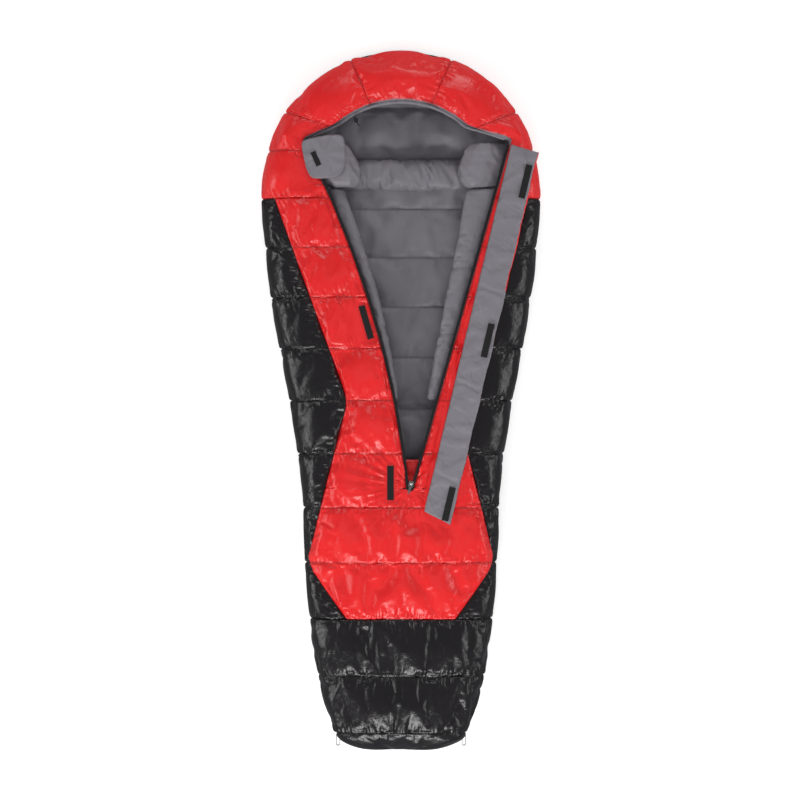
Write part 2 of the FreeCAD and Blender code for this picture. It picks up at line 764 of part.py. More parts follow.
collar_half = half_width(collar_y + collar_depth) - quilt_loft - 36
collar_z = base_loft + gap
collar_ring = [(0, 0), (1, 0), (1, 0.55), (0.72, 1), (0.28, 1), (0, 0.55)]
save("collar_back", through([[V(x, collar_y + collar_depth * a, collar_z + collar_loft * b * high)
                              for a, b in collar_ring]
                             for x, high in ((-collar_half, 0.6), (-collar_half * 0.7, 1), (collar_half * 0.7, 1),
                                             (collar_half, 0.6))]))
side_z = collar_z + collar_loft + 2
tab_z = top_height + 1.5
for word, side, edge_top, inner_top in (("left", -1, tooth_z - tooth_height / 2 - 3, tab_z - gap),
                                        ("right", 1, tube_top, top_height - 10)):
    loops = []
    for y, width in ((collar_side_y, 0.8), (collar_side_y + 50, 1.0), (zip_top_y - 8, 1.0)):
        x0 = edge_x(y, side) - side * gap
        x1 = x0 - side * collar_side_width * width
        ring = [(x0, side_z), (x1, side_z + 8), (x1, inner_top), (x0, edge_top)]
        loops.append([V(x, y, z) for x, z in ring])
    save(f"collar_{word}", through(loops))

tab_root_x = edge_x(zip_top_y, -1) + collar_side_width + 4
tab_y0 = zip_top_y - tab_length + 18
tab_outline = [(0, 0.04), (0, 0.82), (-0.12, 1.0), (-0.95, 0.86), (-1.0, 0.72), (-0.84, 0.02), (-0.6, -0.04)]
tab_face = [V(tab_root_x + tab_width * a, tab_y0 + tab_length * b, tab_z) for a, b in tab_outline]
save("collar_tab", Part.Face(Part.makePolygon(tab_face + tab_face[:1])).extrude(V(0, 0, tab_thickness)))
patch = box((-8, -23, 0), (8, 23, patch_thickness))
patch.rotate(V(0, 0, 0), V(0, 0, 1), 25)
patch.translate(V(tab_root_x - 0.66 * tab_width, tab_y0 + 0.42 * tab_length, tab_z + tab_thickness + gap))
save("collar_tab_loop_patch", patch)


# ================= storm flap =================

root = V(zip_bottom_x + flap_gap_low, zip_bottom_y - flap_below_zip, 0)
flap_run = V(zip_right_top_x + flap_gap_high, zip_top_y - flap_top_drop, 0) - root
flap_length = flap_run.Length
flap_lean = math.degrees(math.atan2(flap_run.x, flap_run.y))
flap_z = top_height + flap_lift


def on_flap(shape):
    """From the flap's own frame, +Y along its root and +X outwards, to the bag's."""
    turned = shape.copy()
    turned.rotate(V(0, 0, 0), V(0, 0, 1), -flap_lean)
    turned.translate(root + V(0, 0, flap_z))
    return turned


flap_outline = [(0, 0), (flap_width, -24), (flap_width, flap_length - 4), (0, flap_length)]


def flap_layer(z0, z1, inset):
    corners = [V(x + inset * (1 if x == 0 else -1), y + inset * (1 if y <= 0 else -1), z0) for x, y in flap_outline]
    return Part.Face(Part.makePolygon(corners + corners[:1])).extrude(V(0, 0, z1 - z0))


save("flap_shell", on_flap(flap_layer(0, skin, 0)))
save("flap_down", on_flap(flap_layer(skin + gap / 2, flap_thickness - skin - gap / 2, 2)))
save("flap_lining", on_flap(flap_layer(flap_thickness - skin, flap_thickness, 0)))
hook_places = {"bottom": 0.035, "middle": 0.479, "top": 0.911}
for word, place in hook_places.items():
    y = place * flap_length
    hook = box((flap_width - patch_inset - hook_width, y - hook_length / 2, flap_thickness + gap / 2),
               (flap_width - patch_inset, y + hook_length / 2, flap_thickness + gap / 2 + patch_thickness))
    save(f"flap_hook_{word}", on_flap(hook))


# ================= loop patches on the left side =================

def loop_patch(x, y, turn):
    piece = box((-hook_width / 2, -hook_length / 2, 0), (hook_width / 2, hook_length / 2, patch_thickness))
    piece.rotate(V(0, 0, 0), V(0, 0, 1), turn)
    piece.translate(V(x, y, top_height + gap))
    return piece


save("leg_loop_patch", loop_patch(zip_bottom_x - 60, zip_bottom_y + 14, 0))
chest_patch_y = zip_bottom_y + 504
save("chest_loop_patch", loop_patch(zip_left_x(chest_patch_y) - 34, chest_patch_y, 16))


# ================= hang loops at the foot =================

def hang_loop(side):
    """A folded webbing loop that comes straight out of the foot seam: two legs and a round bend."""
    outer_r = loop_opening / 2 + loop_band
    leg = loop_length - outer_r
    outer = box((-outer_r, -leg, 0), (outer_r, 0, loop_width)).fuse(
        Part.makeCylinder(outer_r, loop_width, V(0, -leg, 0), V(0, 0, 1)))
    inner = box((-loop_opening / 2, -leg, -1), (loop_opening / 2, 1, loop_width + 1)).fuse(
        Part.makeCylinder(loop_opening / 2, loop_width + 2, V(0, -leg, -1), V(0, 0, 1)))
    piece = outer.cut(inner)
    piece.translate(V(side * (half_width(foot_seam_y) - loop_inset), foot_seam_y - 9, loop_height))
    return piece.cut(cap_solid)


save("foot_hang_loops", hang_loop(-1), hang_loop(1))
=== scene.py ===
import bpy
import math
import numpy as np
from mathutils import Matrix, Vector, noise


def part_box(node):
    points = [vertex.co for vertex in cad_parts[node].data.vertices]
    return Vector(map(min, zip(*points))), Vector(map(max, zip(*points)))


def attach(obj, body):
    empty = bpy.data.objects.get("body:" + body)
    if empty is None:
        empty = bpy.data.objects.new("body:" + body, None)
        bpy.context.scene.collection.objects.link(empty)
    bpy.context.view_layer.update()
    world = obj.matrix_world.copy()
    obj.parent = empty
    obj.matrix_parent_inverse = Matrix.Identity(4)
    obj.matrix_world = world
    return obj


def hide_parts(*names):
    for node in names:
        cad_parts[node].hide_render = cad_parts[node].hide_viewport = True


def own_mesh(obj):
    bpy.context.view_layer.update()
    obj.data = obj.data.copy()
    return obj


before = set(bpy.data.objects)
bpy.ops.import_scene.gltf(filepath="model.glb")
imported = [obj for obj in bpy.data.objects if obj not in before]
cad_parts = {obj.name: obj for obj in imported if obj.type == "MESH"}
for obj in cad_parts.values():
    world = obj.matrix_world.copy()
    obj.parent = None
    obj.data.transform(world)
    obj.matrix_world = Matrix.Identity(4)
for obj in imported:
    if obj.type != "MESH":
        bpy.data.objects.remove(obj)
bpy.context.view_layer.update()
print("frame loaded")

# plan of the bag, in metres

bag = {
    "length": 2.15, "footCap": 0.049, "hoodDepth": 0.461, "rings": 10, "ringTaper": 0.028,
    "topHeight": 0.200, "footHeight": 0.176, "baseLoft": 0.050, "quiltLoft": 0.048,
    "zipBottomX": 0.028, "zipBelowNeck": 0.884, "zipAboveNeck": 0.180,
    "zipLeftTopX": -0.291, "zipRightTopX": 0.328, "zipLeftBow": 0.212,
    "meshedGap": 0.006, "tapeWidth": 0.009, "rimRadius": 0.302, "hoodPower": 2.15,
    "shoulder": 0.425, "panelBottom": 0.166, "panelWaist": 0.162, "panelShoulder": 0.389,
}
headEnd = bag["length"] / 2
footSeam = -headEnd + bag["footCap"]
neck = headEnd - bag["hoodDepth"]
zipBottom = neck - bag["zipBelowNeck"]
zipTop = neck + bag["zipAboveNeck"]
pitch = (neck - footSeam) / bag["rings"]
ringSeams = [footSeam]
for i in range(bag["rings"]):
    ringSeams.append(ringSeams[-1] + pitch + bag["ringTaper"] * (0.5 - i / (bag["rings"] - 1)))
panelBottomY, panelKneeY, waistY = ringSeams[2], ringSeams[3], ringSeams[6]
widthPlaces = [(footSeam + share * (neck - footSeam), width) for share, width in (
    (0.0, 0.201), (0.077, 0.240), (0.162, 0.267), (0.321, 0.290),
    (0.452, 0.298), (0.626, 0.338), (0.809, 0.393), (1.0, 0.425))]


def halfWidth(y):
    if y >= neck:
        share = min(1.0, (y - neck) / bag["hoodDepth"])
        return bag["shoulder"] * (1 - share ** bag["hoodPower"]) ** (1 / bag["hoodPower"])
    i = max(k for k in range(len(widthPlaces) - 1) if widthPlaces[k][0] <= y + 1e-9)
    (y0, w0), (y1, w1) = widthPlaces[i], widthPlaces[i + 1]
    before, after = widthPlaces[max(i - 1, 0)], widthPlaces[min(i + 2, len(widthPlaces) - 1)]
    slope0 = (w1 - before[1]) / (y1 - before[0])
    slope1 = (after[1] - w0) / (after[0] - y0)
    t, step = (y - y0) / (y1 - y0), y1 - y0
    return ((2 * t ** 3 - 3 * t ** 2 + 1) * w0 + (t ** 3 - 2 * t ** 2 + t) * step * slope0
            + (3 * t ** 2 - 2 * t ** 3) * w1 + (t ** 3 - t ** 2) * step * slope1)


def zipX(y, side):  # the tooth line: the left one bows, the right one is straight
    t = (y - zipBottom) / (zipTop - zipBottom)
    start = bag["zipBottomX"] + side * bag["meshedGap"] / 2
    if side > 0:
        return start + (bag["zipRightTopX"] - start) * t
    return start + (bag["zipLeftTopX"] - start) * t + bag["zipLeftBow"] * (t - t * t)


def edgeX(y, side):
    return zipX(y, side) + side * bag["tapeWidth"]


def topAngleOf(side):
    return math.degrees(math.atan2(abs(edgeX(zipTop, side)), zipTop - neck))


def rimDistance(angle, side):
    topX = edgeX(zipTop, side)
    topAngle = topAngleOf(side)
    if angle >= topAngle:
        wayX, wayY = side * math.sin(math.radians(angle)), math.cos(math.radians(angle))
        lowX = edgeX(neck, side)
        lineX, lineY = topX - lowX, zipTop - neck
        return lowX * lineY / (wayX * lineY - wayY * lineX)
    flare = max(0.0, (angle / topAngle - 0.66) / 0.34)
    topReach = math.hypot(topX, zipTop - neck)
    return bag["rimRadius"] + (topReach - bag["rimRadius"]) * flare ** 1.6


def hoodEnds(angle, side):  # silhouette and rim points at an angle from straight ahead on the hood
    top = topAngleOf(side)
    rimAngle = np.interp(angle, [0, 20, 37, 53, 62, 70, 90], [0, 18, 31, 0.76 * top, top, top + 4, 90])
    a, b = math.radians(angle), math.radians(rimAngle)
    power = bag["hoodPower"]
    across, along = math.sin(a) / bag["shoulder"], math.cos(a) / bag["hoodDepth"]
    reach = (across ** power + along ** power) ** (-1 / power)
    rim = rimDistance(rimAngle, side)
    return ((side * reach * math.sin(a), neck + reach * math.cos(a)),
            (side * rim * math.sin(b), neck + rim * math.cos(b)))


def heightAt(y):
    share = min(1.0, (y - footSeam) / (panelKneeY - footSeam))
    return bag["footHeight"] + (bag["topHeight"] - bag["footHeight"]) * share


def panelHalf(y):  # half width of the red panel, with its corners eased
    spread = min(0.03, y - panelBottomY, neck - y) if panelBottomY < y < neck else 0.0
    corners = [bag["panelBottom"], halfWidth(panelKneeY) + 0.002, bag["panelWaist"], bag["panelShoulder"]]
    widths = [np.interp(y + spread * k, [panelBottomY, panelKneeY, waistY, neck], corners)
              for k in (-1, -0.5, 0, 0.5, 1)]
    return float(np.mean(widths))


def rounded(points, rounds=4):  # cuts a polyline's corners until it is smooth
    points = np.array(points, float)
    for _ in range(rounds):
        near = points[:-1] * 0.75 + points[1:] * 0.25
        far = points[:-1] * 0.25 + points[1:] * 0.75
        inner = np.empty((2 * len(near), points.shape[1]))
        inner[0::2], inner[1::2] = near, far
        points = np.vstack([points[:1], inner[1:-1], points[-1:]])
    return points


def travelled(points, axis=0):  # distance gone along a line, or along one way of a grid
    steps = np.linalg.norm(np.diff(points, axis=axis), axis=-1)
    start = np.zeros_like(np.take(steps, [0], axis=axis))
    return np.concatenate([start, np.cumsum(steps, axis=axis)], axis=axis)


def alongLine(points, shares):
    lengths = travelled(points)
    places = np.asarray(shares) * lengths[-1]
    return np.stack([np.interp(places, lengths, points[:, k]) for k in range(points.shape[1])], axis=1)


def section(silhouette, edge, height=0.2, inner=False, closed=False):
    foot = np.array([silhouette[0], silhouette[1], 0.0])
    inward = np.array([edge[0], edge[1], 0.0]) - foot
    span = np.linalg.norm(inward)
    inward /= span
    zb = bag["baseLoft"]
    stretch = (height - zb) / (bag["topHeight"] - zb)
    loft = bag["quiltLoft"]
    if inner:
        rise = bag["topHeight"] - loft
        shape = [(0.012 + loft, zb + 0.002), (loft, 0.095), (loft + 0.010, rise - 0.022),
                 (min(0.095, loft + 0.3 * span), rise - 0.006), (span - 0.004, rise)]
        shape = [(min(d, span - 0.001), z) for d, z in shape]
        if not closed:
            shape.append((span - 0.0005, 0.196))
    else:
        shoulder = min(0.080, 0.5 * span)
        shape = [(0.014, zb), (-0.002, 0.080), (0.000, 0.135), (0.022, 0.176), (shoulder, 0.1955),
                 (0.5 * (shoulder + span), 0.200), (span, 0.200)]
    points = [foot + inward * d + np.array([0, 0, zb + (z - zb) * stretch]) for d, z in shape]
    return rounded(points)


# cloth helpers

seamReach = 0.05  # the seamNear and sideNear fields fall to 0 at this distance


def between(t):  # the rise of a puff between two seams, 0 to 1
    return np.sqrt(np.clip(1 - (2 * np.asarray(t) - 1) ** 2, 0, 1))


def ramp(distance, reach):
    part = np.clip(np.asarray(distance) / reach, 0, 1)
    return np.sqrt(1 - (1 - part) ** 2)


def gridNormals(grid, sign):
    normal = np.cross(np.gradient(grid, axis=1), np.gradient(grid, axis=0)) * sign
    return normal / np.maximum(np.linalg.norm(normal, axis=2, keepdims=True), 1e-12)


def uneven(points, size, amount, shift=0.0):  # slow unevenness, so that no two puffs are alike
    flat = np.asarray(points).reshape(-1, 3)
    values = np.array([noise.noise(Vector(p) / size + Vector((shift, shift, shift))) for p in flat])
    return (values * amount).reshape(np.asarray(points).shape[:-1])


def newObject(name, data):
    made = bpy.data.objects.new(name, data)
    bpy.context.collection.objects.link(made)
    return made


def newMesh(name, points, faces):
    mesh = bpy.data.meshes.new(name)
    mesh.from_pydata([tuple(map(float, p)) for p in points], [], [tuple(map(int, f)) for f in faces])
    mesh.validate()
    mesh.update()
    return newObject(name, mesh)


def usedMesh(name, points, faces):  # a mesh of only the points that the faces use, and their numbers
    used = sorted({v for f in faces for v in f})
    place = {v: i for i, v in enumerate(used)}
    return newMesh(name, points[used], [[place[v] for v in f] for f in faces]), used


def gridFaces(ids, around=False):  # four-cornered faces of a grid of vertex numbers, closed on itself or not
    if around:
        ids = np.column_stack([ids, ids[:, :1]])
    return [[ids[r, c], ids[r, c + 1], ids[r + 1, c + 1], ids[r + 1, c]]
            for r in range(len(ids) - 1) for c in range(ids.shape[1] - 1)]


def capFaces(ring, tip):
    return [[a, b, tip] for a, b in zip(ring, np.roll(ring, -1))]


def readPoints(piece, kind="co"):
    points = np.empty(len(piece.data.vertices) * 3)
    piece.data.vertices.foreach_get(kind, points)
    return points.reshape(-1, 3)


def writePoints(piece, points):
    piece.data.vertices.foreach_set("co", points.ravel())
    piece.data.update()


cloth = {"quality": 4, "mass": 0.06, "air_damping": 2.0, "tension_damping": 5, "compression_damping": 5,
         "shear_damping": 5, "bending_damping": 0.5, "use_pressure": True}


def settle(piece, pins, growth, pressure, frames, travel, bending=0.4, stiff=12.0):
    # inflates sewn cloth with its seams held, then writes the result into the mesh
    group = piece.vertex_groups.new(name="held")
    group.add([int(i) for i in np.nonzero(np.asarray(pins) > 0.5)[0]], 1.0, "REPLACE")
    start = readPoints(piece)
    sewn = piece.modifiers.new("cloth", "CLOTH")
    for key, value in cloth.items():
        setattr(sewn.settings, key, value)
    sewn.settings.tension_stiffness = sewn.settings.compression_stiffness = stiff
    sewn.settings.shear_stiffness = stiff / 2
    sewn.settings.bending_stiffness = bending
    sewn.settings.vertex_group_mass = "held"
    sewn.settings.shrink_min = sewn.settings.shrink_max = -growth
    sewn.settings.uniform_pressure_force = pressure
    sewn.settings.effector_weights.gravity = 0
    sewn.collision_settings.use_collision = False
    sewn.point_cache.frame_start, sewn.point_cache.frame_end = 1, frames
    scene = bpy.context.scene
    scene.frame_start, scene.frame_end = 1, frames
    for f in range(1, frames + 1):
        scene.frame_set(f)
    seen = piece.evaluated_get(bpy.context.evaluated_depsgraph_get())
    moved = readPoints(seen)
    piece.modifiers.remove(sewn)
    piece.vertex_groups.remove(group)
    scene.frame_set(1)
    step = moved - start
    size = np.linalg.norm(step, axis=1, keepdims=True)
    limit = np.asarray(travel, float).reshape(-1, 1)  # one value, or one for each point
    writePoints(piece, start + step * np.minimum(1, limit / np.maximum(size, 1e-9)))


def choose(piece):
    bpy.ops.object.select_all(action="DESELECT")
    piece.select_set(True)
    bpy.context.view_layer.objects.active = piece


def finishSoft(piece):
    choose(piece)
    fine = piece.modifiers.new("fine", "SUBSURF")
    fine.levels = fine.render_levels = 1
    bpy.ops.object.modifier_apply(modifier="fine")
    bpy.ops.object.shade_smooth()


def finishNormals(piece):
    choose(piece)
    bpy.ops.object.mode_set(mode="EDIT")
    bpy.ops.mesh.select_all(action="SELECT")
    bpy.ops.mesh.normals_make_consistent(inside=False)
    bpy.ops.object.mode_set(mode="OBJECT")


def setUv(piece, values):  # values: one pair in metres for each vertex
    layer = piece.data.uv_layers.new(name="cloth")
    for loop in piece.data.loops:
        layer.data[loop.index].uv = values[loop.vertex_index]


def setNear(piece, values, name="seamNear"):  # how near a seam each vertex is, 1 on it
    field = piece.data.attributes.new(name, "FLOAT", "POINT")
    field.data.foreach_set("value", np.asarray(values, dtype=np.float32))


def readField(piece, name):
    values = np.zeros(len(piece.data.vertices), dtype=np.float32)
    piece.data.attributes[name].data.foreach_get("value", values)
    return values


def readUv(piece):
    uv = np.zeros((len(piece.data.vertices), 2))
    corners = np.empty(len(piece.data.loops), dtype=np.int32)
    piece.data.loops.foreach_get("vertex_index", corners)
    flat = np.empty(len(piece.data.loops) * 2)
    piece.data.uv_layers["cloth"].data.foreach_get("uv", flat)
    uv[corners] = flat.reshape(-1, 2)
    return uv


folds = {"ringAcross": 74.0, "ringAlong": 8.0, "ringDepth": 0.0044, "zipAcross": 42, "zipAlong": 5,
         "zipDepth": 0.0046, "sideAcross": 58, "sideAlong": 9, "sideDepth": 0.0038, "burstDepth": 0.0085,
         "burstReach": 0.11, "burstFrom": 0.012, "burstRise": 0.03, "burstRays": 5.5, "burstAlong": 4,
         "peakAt": 0.016, "least": 0.02, "holdFade": 0.010, "lidFade": 0.006, "lidZ": 0.1994}


def crest(x, y, z):  # sharp-backed folds, between -1 and 1
    return 1 - 2.6 * abs(noise.noise(Vector((x, y, z))))


def pressCreases(piece, depth, size, stretch=3.0, slant=0.5):  # loose creases all over a small lining piece
    points = readPoints(piece)
    x, y, z = points.T
    turned = np.stack([x + slant * y, y / stretch - slant * x / stretch, z / stretch], axis=1) / size
    step = np.array([crest(*p) * max(0.0, 0.4 + noise.noise(Vector(p) * 0.35)) for p in turned]) * depth
    writePoints(piece, points + readPoints(piece, "normal") * step[:, None])


def foldWeight(gap, otherGap):  # most at peakAt from the seam, nothing on it or at the field's end
    peak = folds["peakAt"]
    return gap / peak * np.exp(1 - gap / peak) * np.clip(otherGap / 0.006, 0, 1) * (1 - gap / seamReach)


def pressFolds(piece, zipSide):
    # fine folds drawn by the stitching: square to the rings, along the zip, and rayed round its lower end
    uv, points = readUv(piece), readPoints(piece)
    ringGap = (1 - readField(piece, "seamNear")) * seamReach
    sideGap = (1 - readField(piece, "sideNear")) * seamReach
    ringWeight, sideWeight = foldWeight(ringGap, sideGap), foldWeight(sideGap, ringGap)
    alongZip = zipSide & (points[:, 1] < neck) & (points[:, 1] > zipBottom)
    step = np.zeros(len(points))
    for i in range(len(points)):
        u, v = uv[i]
        bend = 0.35 * noise.noise(Vector((u * 5, v * 5, 8.8)))
        patch = min(1.3, max(0.35, 0.8 + 1.3 * noise.noise(Vector((u * 7, v * 6, 4.4)))))
        if ringWeight[i] > folds["least"]:
            step[i] += folds["ringDepth"] * ringWeight[i] * patch * crest(
                (u + bend * ringGap[i]) * folds["ringAcross"], v * folds["ringAlong"], 0.3)
        if sideWeight[i] > folds["least"]:
            if alongZip[i]:
                step[i] += folds["zipDepth"] * sideWeight[i] * crest(
                    (u + 0.02 * bend) * folds["zipAcross"], v * folds["zipAlong"], 1.7)
            else:
                step[i] += folds["sideDepth"] * sideWeight[i] * patch * crest(
                    u * folds["sideAlong"], (v + bend * sideGap[i]) * folds["sideAcross"], 2.9)
        dx, dy = points[i, 0] - bag["zipBottomX"], points[i, 1] - zipBottom
        reach = math.hypot(dx, dy)
        if reach < 3 * folds["burstReach"] and points[i, 2] > 0.15:
            weight = min(1.0, max(0.0, reach - folds["burstFrom"]) / folds["burstRise"]) * math.exp(
                -reach / folds["burstReach"])
            step[i] += folds["burstDepth"] * weight * crest(
                math.atan2(dx, -dy) * folds["burstRays"], reach * folds["burstAlong"], 5.1)
    border = np.clip(np.minimum(ringGap, sideGap) / 0.004, 0, 1)
    step = step * border * (1 - 0.9 * underThings(points, folds["holdFade"]))
    points = points + readPoints(piece, "normal") * step[:, None]
    under = underThings(points, folds["lidFade"]) > 0.02
    points[:, 2] = np.where(under, np.minimum(points[:, 2], folds["lidZ"]), points[:, 2])
    writePoints(piece, points)


# materials

def shaderOf(material):
    return material.node_tree.nodes["Principled BSDF"]


def newMaterial(name, colour, roughness, **extra):
    material = bpy.data.materials.new(name)
    material.use_nodes = True
    shader = shaderOf(material)
    shader.inputs["Base Color"].default_value = (*colour, 1)
    shader.inputs["Roughness"].default_value = roughness
    for key, value in extra.items():
        shader.inputs[key.replace("_", " ")].default_value = value
    return material


def addNode(material, kind, **values):
    node = material.node_tree.nodes.new(kind)
    for key, value in values.items():
        if key in node.inputs:
            node.inputs[key].default_value = value
        else:
            setattr(node, key, value)
    return node


def wire(material, source, out, target, into):
    material.node_tree.links.new(source.outputs[out], target.inputs[into])


def colourVary(material, colour, darker, source, out):
    mix = addNode(material, "ShaderNodeMix", data_type="RGBA")
    mix.inputs[6].default_value = (*darker, 1)
    mix.inputs[7].default_value = (*colour, 1)
    wire(material, source, out, mix, 0)
    wire(material, mix, 2, shaderOf(material), "Base Color")
    return mix


# the last two values set the painted shade along the seam lines: how dark it gets, and how tightly it hugs
# them
nylonLook = {"weave": 0.0011, "weaveStrength": 0.12, "weaveDepth": 0.0002, "crinkle": 55.0,
             "pucker": 95.0, "puckerStretch": 0.13, "patches": 9.0, "seamShadeDark": 0.55, "seamShadePower": 16}


def clothMaterial(name, colour, darker, roughness, crinkleDepth, puckerDepth, **extra):
    # woven nylon: fine crinkles all over, short puckers square to the seams, a grid of thread, and painted
    # shade along the seam lines
    material = newMaterial(name, colour, roughness, **extra)
    shader = shaderOf(material)
    place = addNode(material, "ShaderNodeTexCoord")
    uv = addNode(material, "ShaderNodeUVMap", uv_map="cloth")
    near = addNode(material, "ShaderNodeAttribute", attribute_name="seamNear")
    stretch = addNode(material, "ShaderNodeMapping")
    stretch.inputs["Scale"].default_value = (
        nylonLook["pucker"], nylonLook["pucker"] * nylonLook["puckerStretch"], 1)
    wire(material, uv, "UV", stretch, "Vector")
    pucker = addNode(material, "ShaderNodeTexNoise", Scale=1.0, Detail=3.0, Roughness=0.55, Distortion=0.4)
    wire(material, stretch, "Vector", pucker, "Vector")
    strength = addNode(material, "ShaderNodeMath", operation="MULTIPLY")
    wire(material, pucker, "Fac", strength, 0)
    fade = addNode(material, "ShaderNodeMath", operation="POWER")
    fade.inputs[1].default_value = 1.6
    wire(material, near, "Fac", fade, 0)
    wire(material, fade, "Value", strength, 1)
    first = addNode(material, "ShaderNodeBump", Strength=1.0, Distance=puckerDepth)
    wire(material, strength, "Value", first, "Height")
    crinkle = addNode(material, "ShaderNodeTexNoise", Scale=nylonLook["crinkle"], Detail=5.0,
                      Roughness=0.6, Distortion=0.8)
    wire(material, place, "Object", crinkle, "Vector")
    second = addNode(material, "ShaderNodeBump", Strength=1.0, Distance=crinkleDepth)
    wire(material, crinkle, "Fac", second, "Height")
    wire(material, first, "Normal", second, "Normal")
    threads = []
    for axis in ("X", "Y"):
        line = addNode(material, "ShaderNodeTexWave", bands_direction=axis,
                       Scale=1 / nylonLook["weave"] / 6.283)
        wire(material, uv, "UV", line, "Vector")
        threads.append(line)
    grid = addNode(material, "ShaderNodeMath", operation="ADD")
    wire(material, threads[0], "Fac", grid, 0)
    wire(material, threads[1], "Fac", grid, 1)
    third = addNode(material, "ShaderNodeBump", Strength=nylonLook["weaveStrength"],
                    Distance=nylonLook["weaveDepth"])
    wire(material, grid, "Value", third, "Height")
    wire(material, second, "Normal", third, "Normal")
    wire(material, third, "Normal", shader, "Normal")
    patchy = addNode(material, "ShaderNodeTexNoise", Scale=nylonLook["patches"], Detail=3.0)
    wire(material, place, "Object", patchy, "Vector")
    varied = colourVary(material, colour, darker, patchy, "Fac")
    sewn = addNode(material, "ShaderNodeMath", operation="POWER")  # painted shade: the colour darkens along the stitched seam lines, standing in for the shade in their grooves
    sewn.inputs[1].default_value = nylonLook["seamShadePower"]
    wire(material, near, "Fac", sewn, 0)
    line = addNode(material, "ShaderNodeMix", data_type="RGBA")
    line.inputs[7].default_value = (*(nylonLook["seamShadeDark"] * c for c in colour), 1)
    wire(material, sewn, "Value", line, 0)
    wire(material, varied, 2, line, 6)
    wire(material, line, 2, shader, "Base Color")
    return material


redNylon = clothMaterial("redNylon", (0.88, 0.020, 0.022), (0.74, 0.011, 0.013), 0.30, 0.0014, 0.0045,
                         Specular_IOR_Level=0.50)
blackNylon = clothMaterial("blackNylon", (0.012, 0.010, 0.012), (0.007, 0.006, 0.007), 0.28, 0.0014, 0.0045,
                           Specular_IOR_Level=0.50)
greyLining = clothMaterial("greyLining", (0.230, 0.218, 0.246), (0.195, 0.184, 0.210), 0.46, 0.0010, 0.0030,
                           Specular_IOR_Level=0.35)


def plainMaterial(name, colour, roughness, grain, depth, **extra):
    material = newMaterial(name, colour, roughness, **extra)
    place = addNode(material, "ShaderNodeTexCoord")
    texture = addNode(material, "ShaderNodeTexNoise", Scale=grain, Detail=3.0)
    wire(material, place, "Object", texture, "Vector")
    bump = addNode(material, "ShaderNodeBump", Strength=0.6, Distance=depth)
    wire(material, texture, "Fac", bump, "Height")
    wire(material, bump, "Normal", shaderOf(material), "Normal")
    colourVary(material, colour, tuple(0.75 * c for c in colour), texture, "Fac")
    return material


pileBlack = plainMaterial("hookAndLoopPile", (0.006, 0.006, 0.007), 0.95, 900.0, 0.0012, Sheen_Weight=0.2)
webbingBlack = plainMaterial("webbing", (0.012, 0.012, 0.013), 0.8, 700.0, 0.0006)
tapeBlack = plainMaterial("zipTape", (0.010, 0.010, 0.011), 0.85, 1100.0, 0.0004)
toothBlack = plainMaterial("mouldedTooth", (0.012, 0.012, 0.013), 0.35, 300.0, 0.0001)
plasticBlack = plainMaterial("mouldedPlastic", (0.012, 0.012, 0.013), 0.45, 400.0, 0.0001)
nickelPlate = plainMaterial("nickelPlate", (0.62, 0.61, 0.60), 0.25, 250.0, 0.0001, Metallic=1.0)
springSteel = plainMaterial("springSteel", (0.55, 0.55, 0.56), 0.3, 300.0, 0.0001, Metallic=1.0)
cordBlack = plainMaterial("braidedCord", (0.012, 0.012, 0.013), 0.8, 900.0, 0.0005)


def addPiece(piece, material, body, nodes):
    if not piece.data.materials:
        piece.data.materials.append(material)
    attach(piece, body)
    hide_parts(*nodes)


print("materials ready")


stormFlap = {"gapLow": 0.040, "gapHigh": 0.007, "belowZip": 0.073, "topDrop": 0.015, "width": 0.092,
             "low": 0.2012, "high": 0.2148, "rows": 190, "columns": 18, "creaseAt": 0.115, "mostSag": 0.014}


def flapSag(x, y):  # how far the open flap hangs down over the quilt's rounded shoulder
    inward = halfWidth(min(y, headEnd)) - abs(x)
    drop = 0.1965 - np.interp(inward, [0.0, 0.022, 0.050, 0.080], [0.150, 0.176, 0.188, 0.1965])
    return float(np.clip(drop * 0.8, 0, stormFlap["mostSag"]))


def flapPlan():
    root = np.array([bag["zipBottomX"] + stormFlap["gapLow"], zipBottom - stormFlap["belowZip"]])
    end = np.array([bag["zipRightTopX"] + stormFlap["gapHigh"], zipTop - stormFlap["topDrop"]])
    length = np.linalg.norm(end - root)
    along = (end - root) / length
    out = np.array([along[1], -along[0]])
    return root, along, out, length


# outer skin of the front quilt: one cloth, sewn along the seams

skin = {"rowStep": 0.0062, "outerColumns": 30, "innerColumns": 30, "seamDepth": 0.0065, "puff": 0.014,
        "hoodSeams": (90, 70, 53, 20), "growth": 0.05, "pressure": 2.0, "frames": 12, "travel": 0.012,
        "panelGap": 0.045, "sideCalm": 0.35, "hoodInset": 0.022, "openBelow": 0.004, "hoodReach": 0.43}

# lining of the front quilt; it stays open further down than the skin, so the inner pull has room to swing
lining = {"rowSkip": 2, "columns": 26, "measuredColumn": 8, "seamDepth": 0.002, "puff": 0.010,
          "openBelow": 0.036, "waves": 0.003, "flatTo": 0.05, "flatFade": 0.08}


def skinRows():
    rows = []  # (kind, place, share of the way between the seams)
    for low, high in zip(ringSeams, ringSeams[1:]):
        count = int(round((high - low) / skin["rowStep"]))
        rows += [("body", low + (high - low) * k / count, k / count) for k in range(count)]
    rows.append(("body", neck, 0.0))
    angles = list(skin["hoodSeams"])
    for high, low in zip(angles, angles[1:]):
        count = int(round(math.radians(high - low) * skin["hoodReach"] / skin["rowStep"]))
        rows += [("hood", high - (high - low) * k / count, k / count if k < count else 0.0)
                 for k in range(1, count + 1)]
    count = int(round(math.radians(angles[-1]) * skin["hoodReach"] / skin["rowStep"]))
    rows += [("hood", angles[-1] * (1 - k / count), 0.5 * k / count) for k in range(1, count + 1)]
    return rows


def isClosed(row, below=skin["openBelow"]):  # whether the two sides meet at the centre line
    return row[0] == "body" and row[1] < zipBottom - below


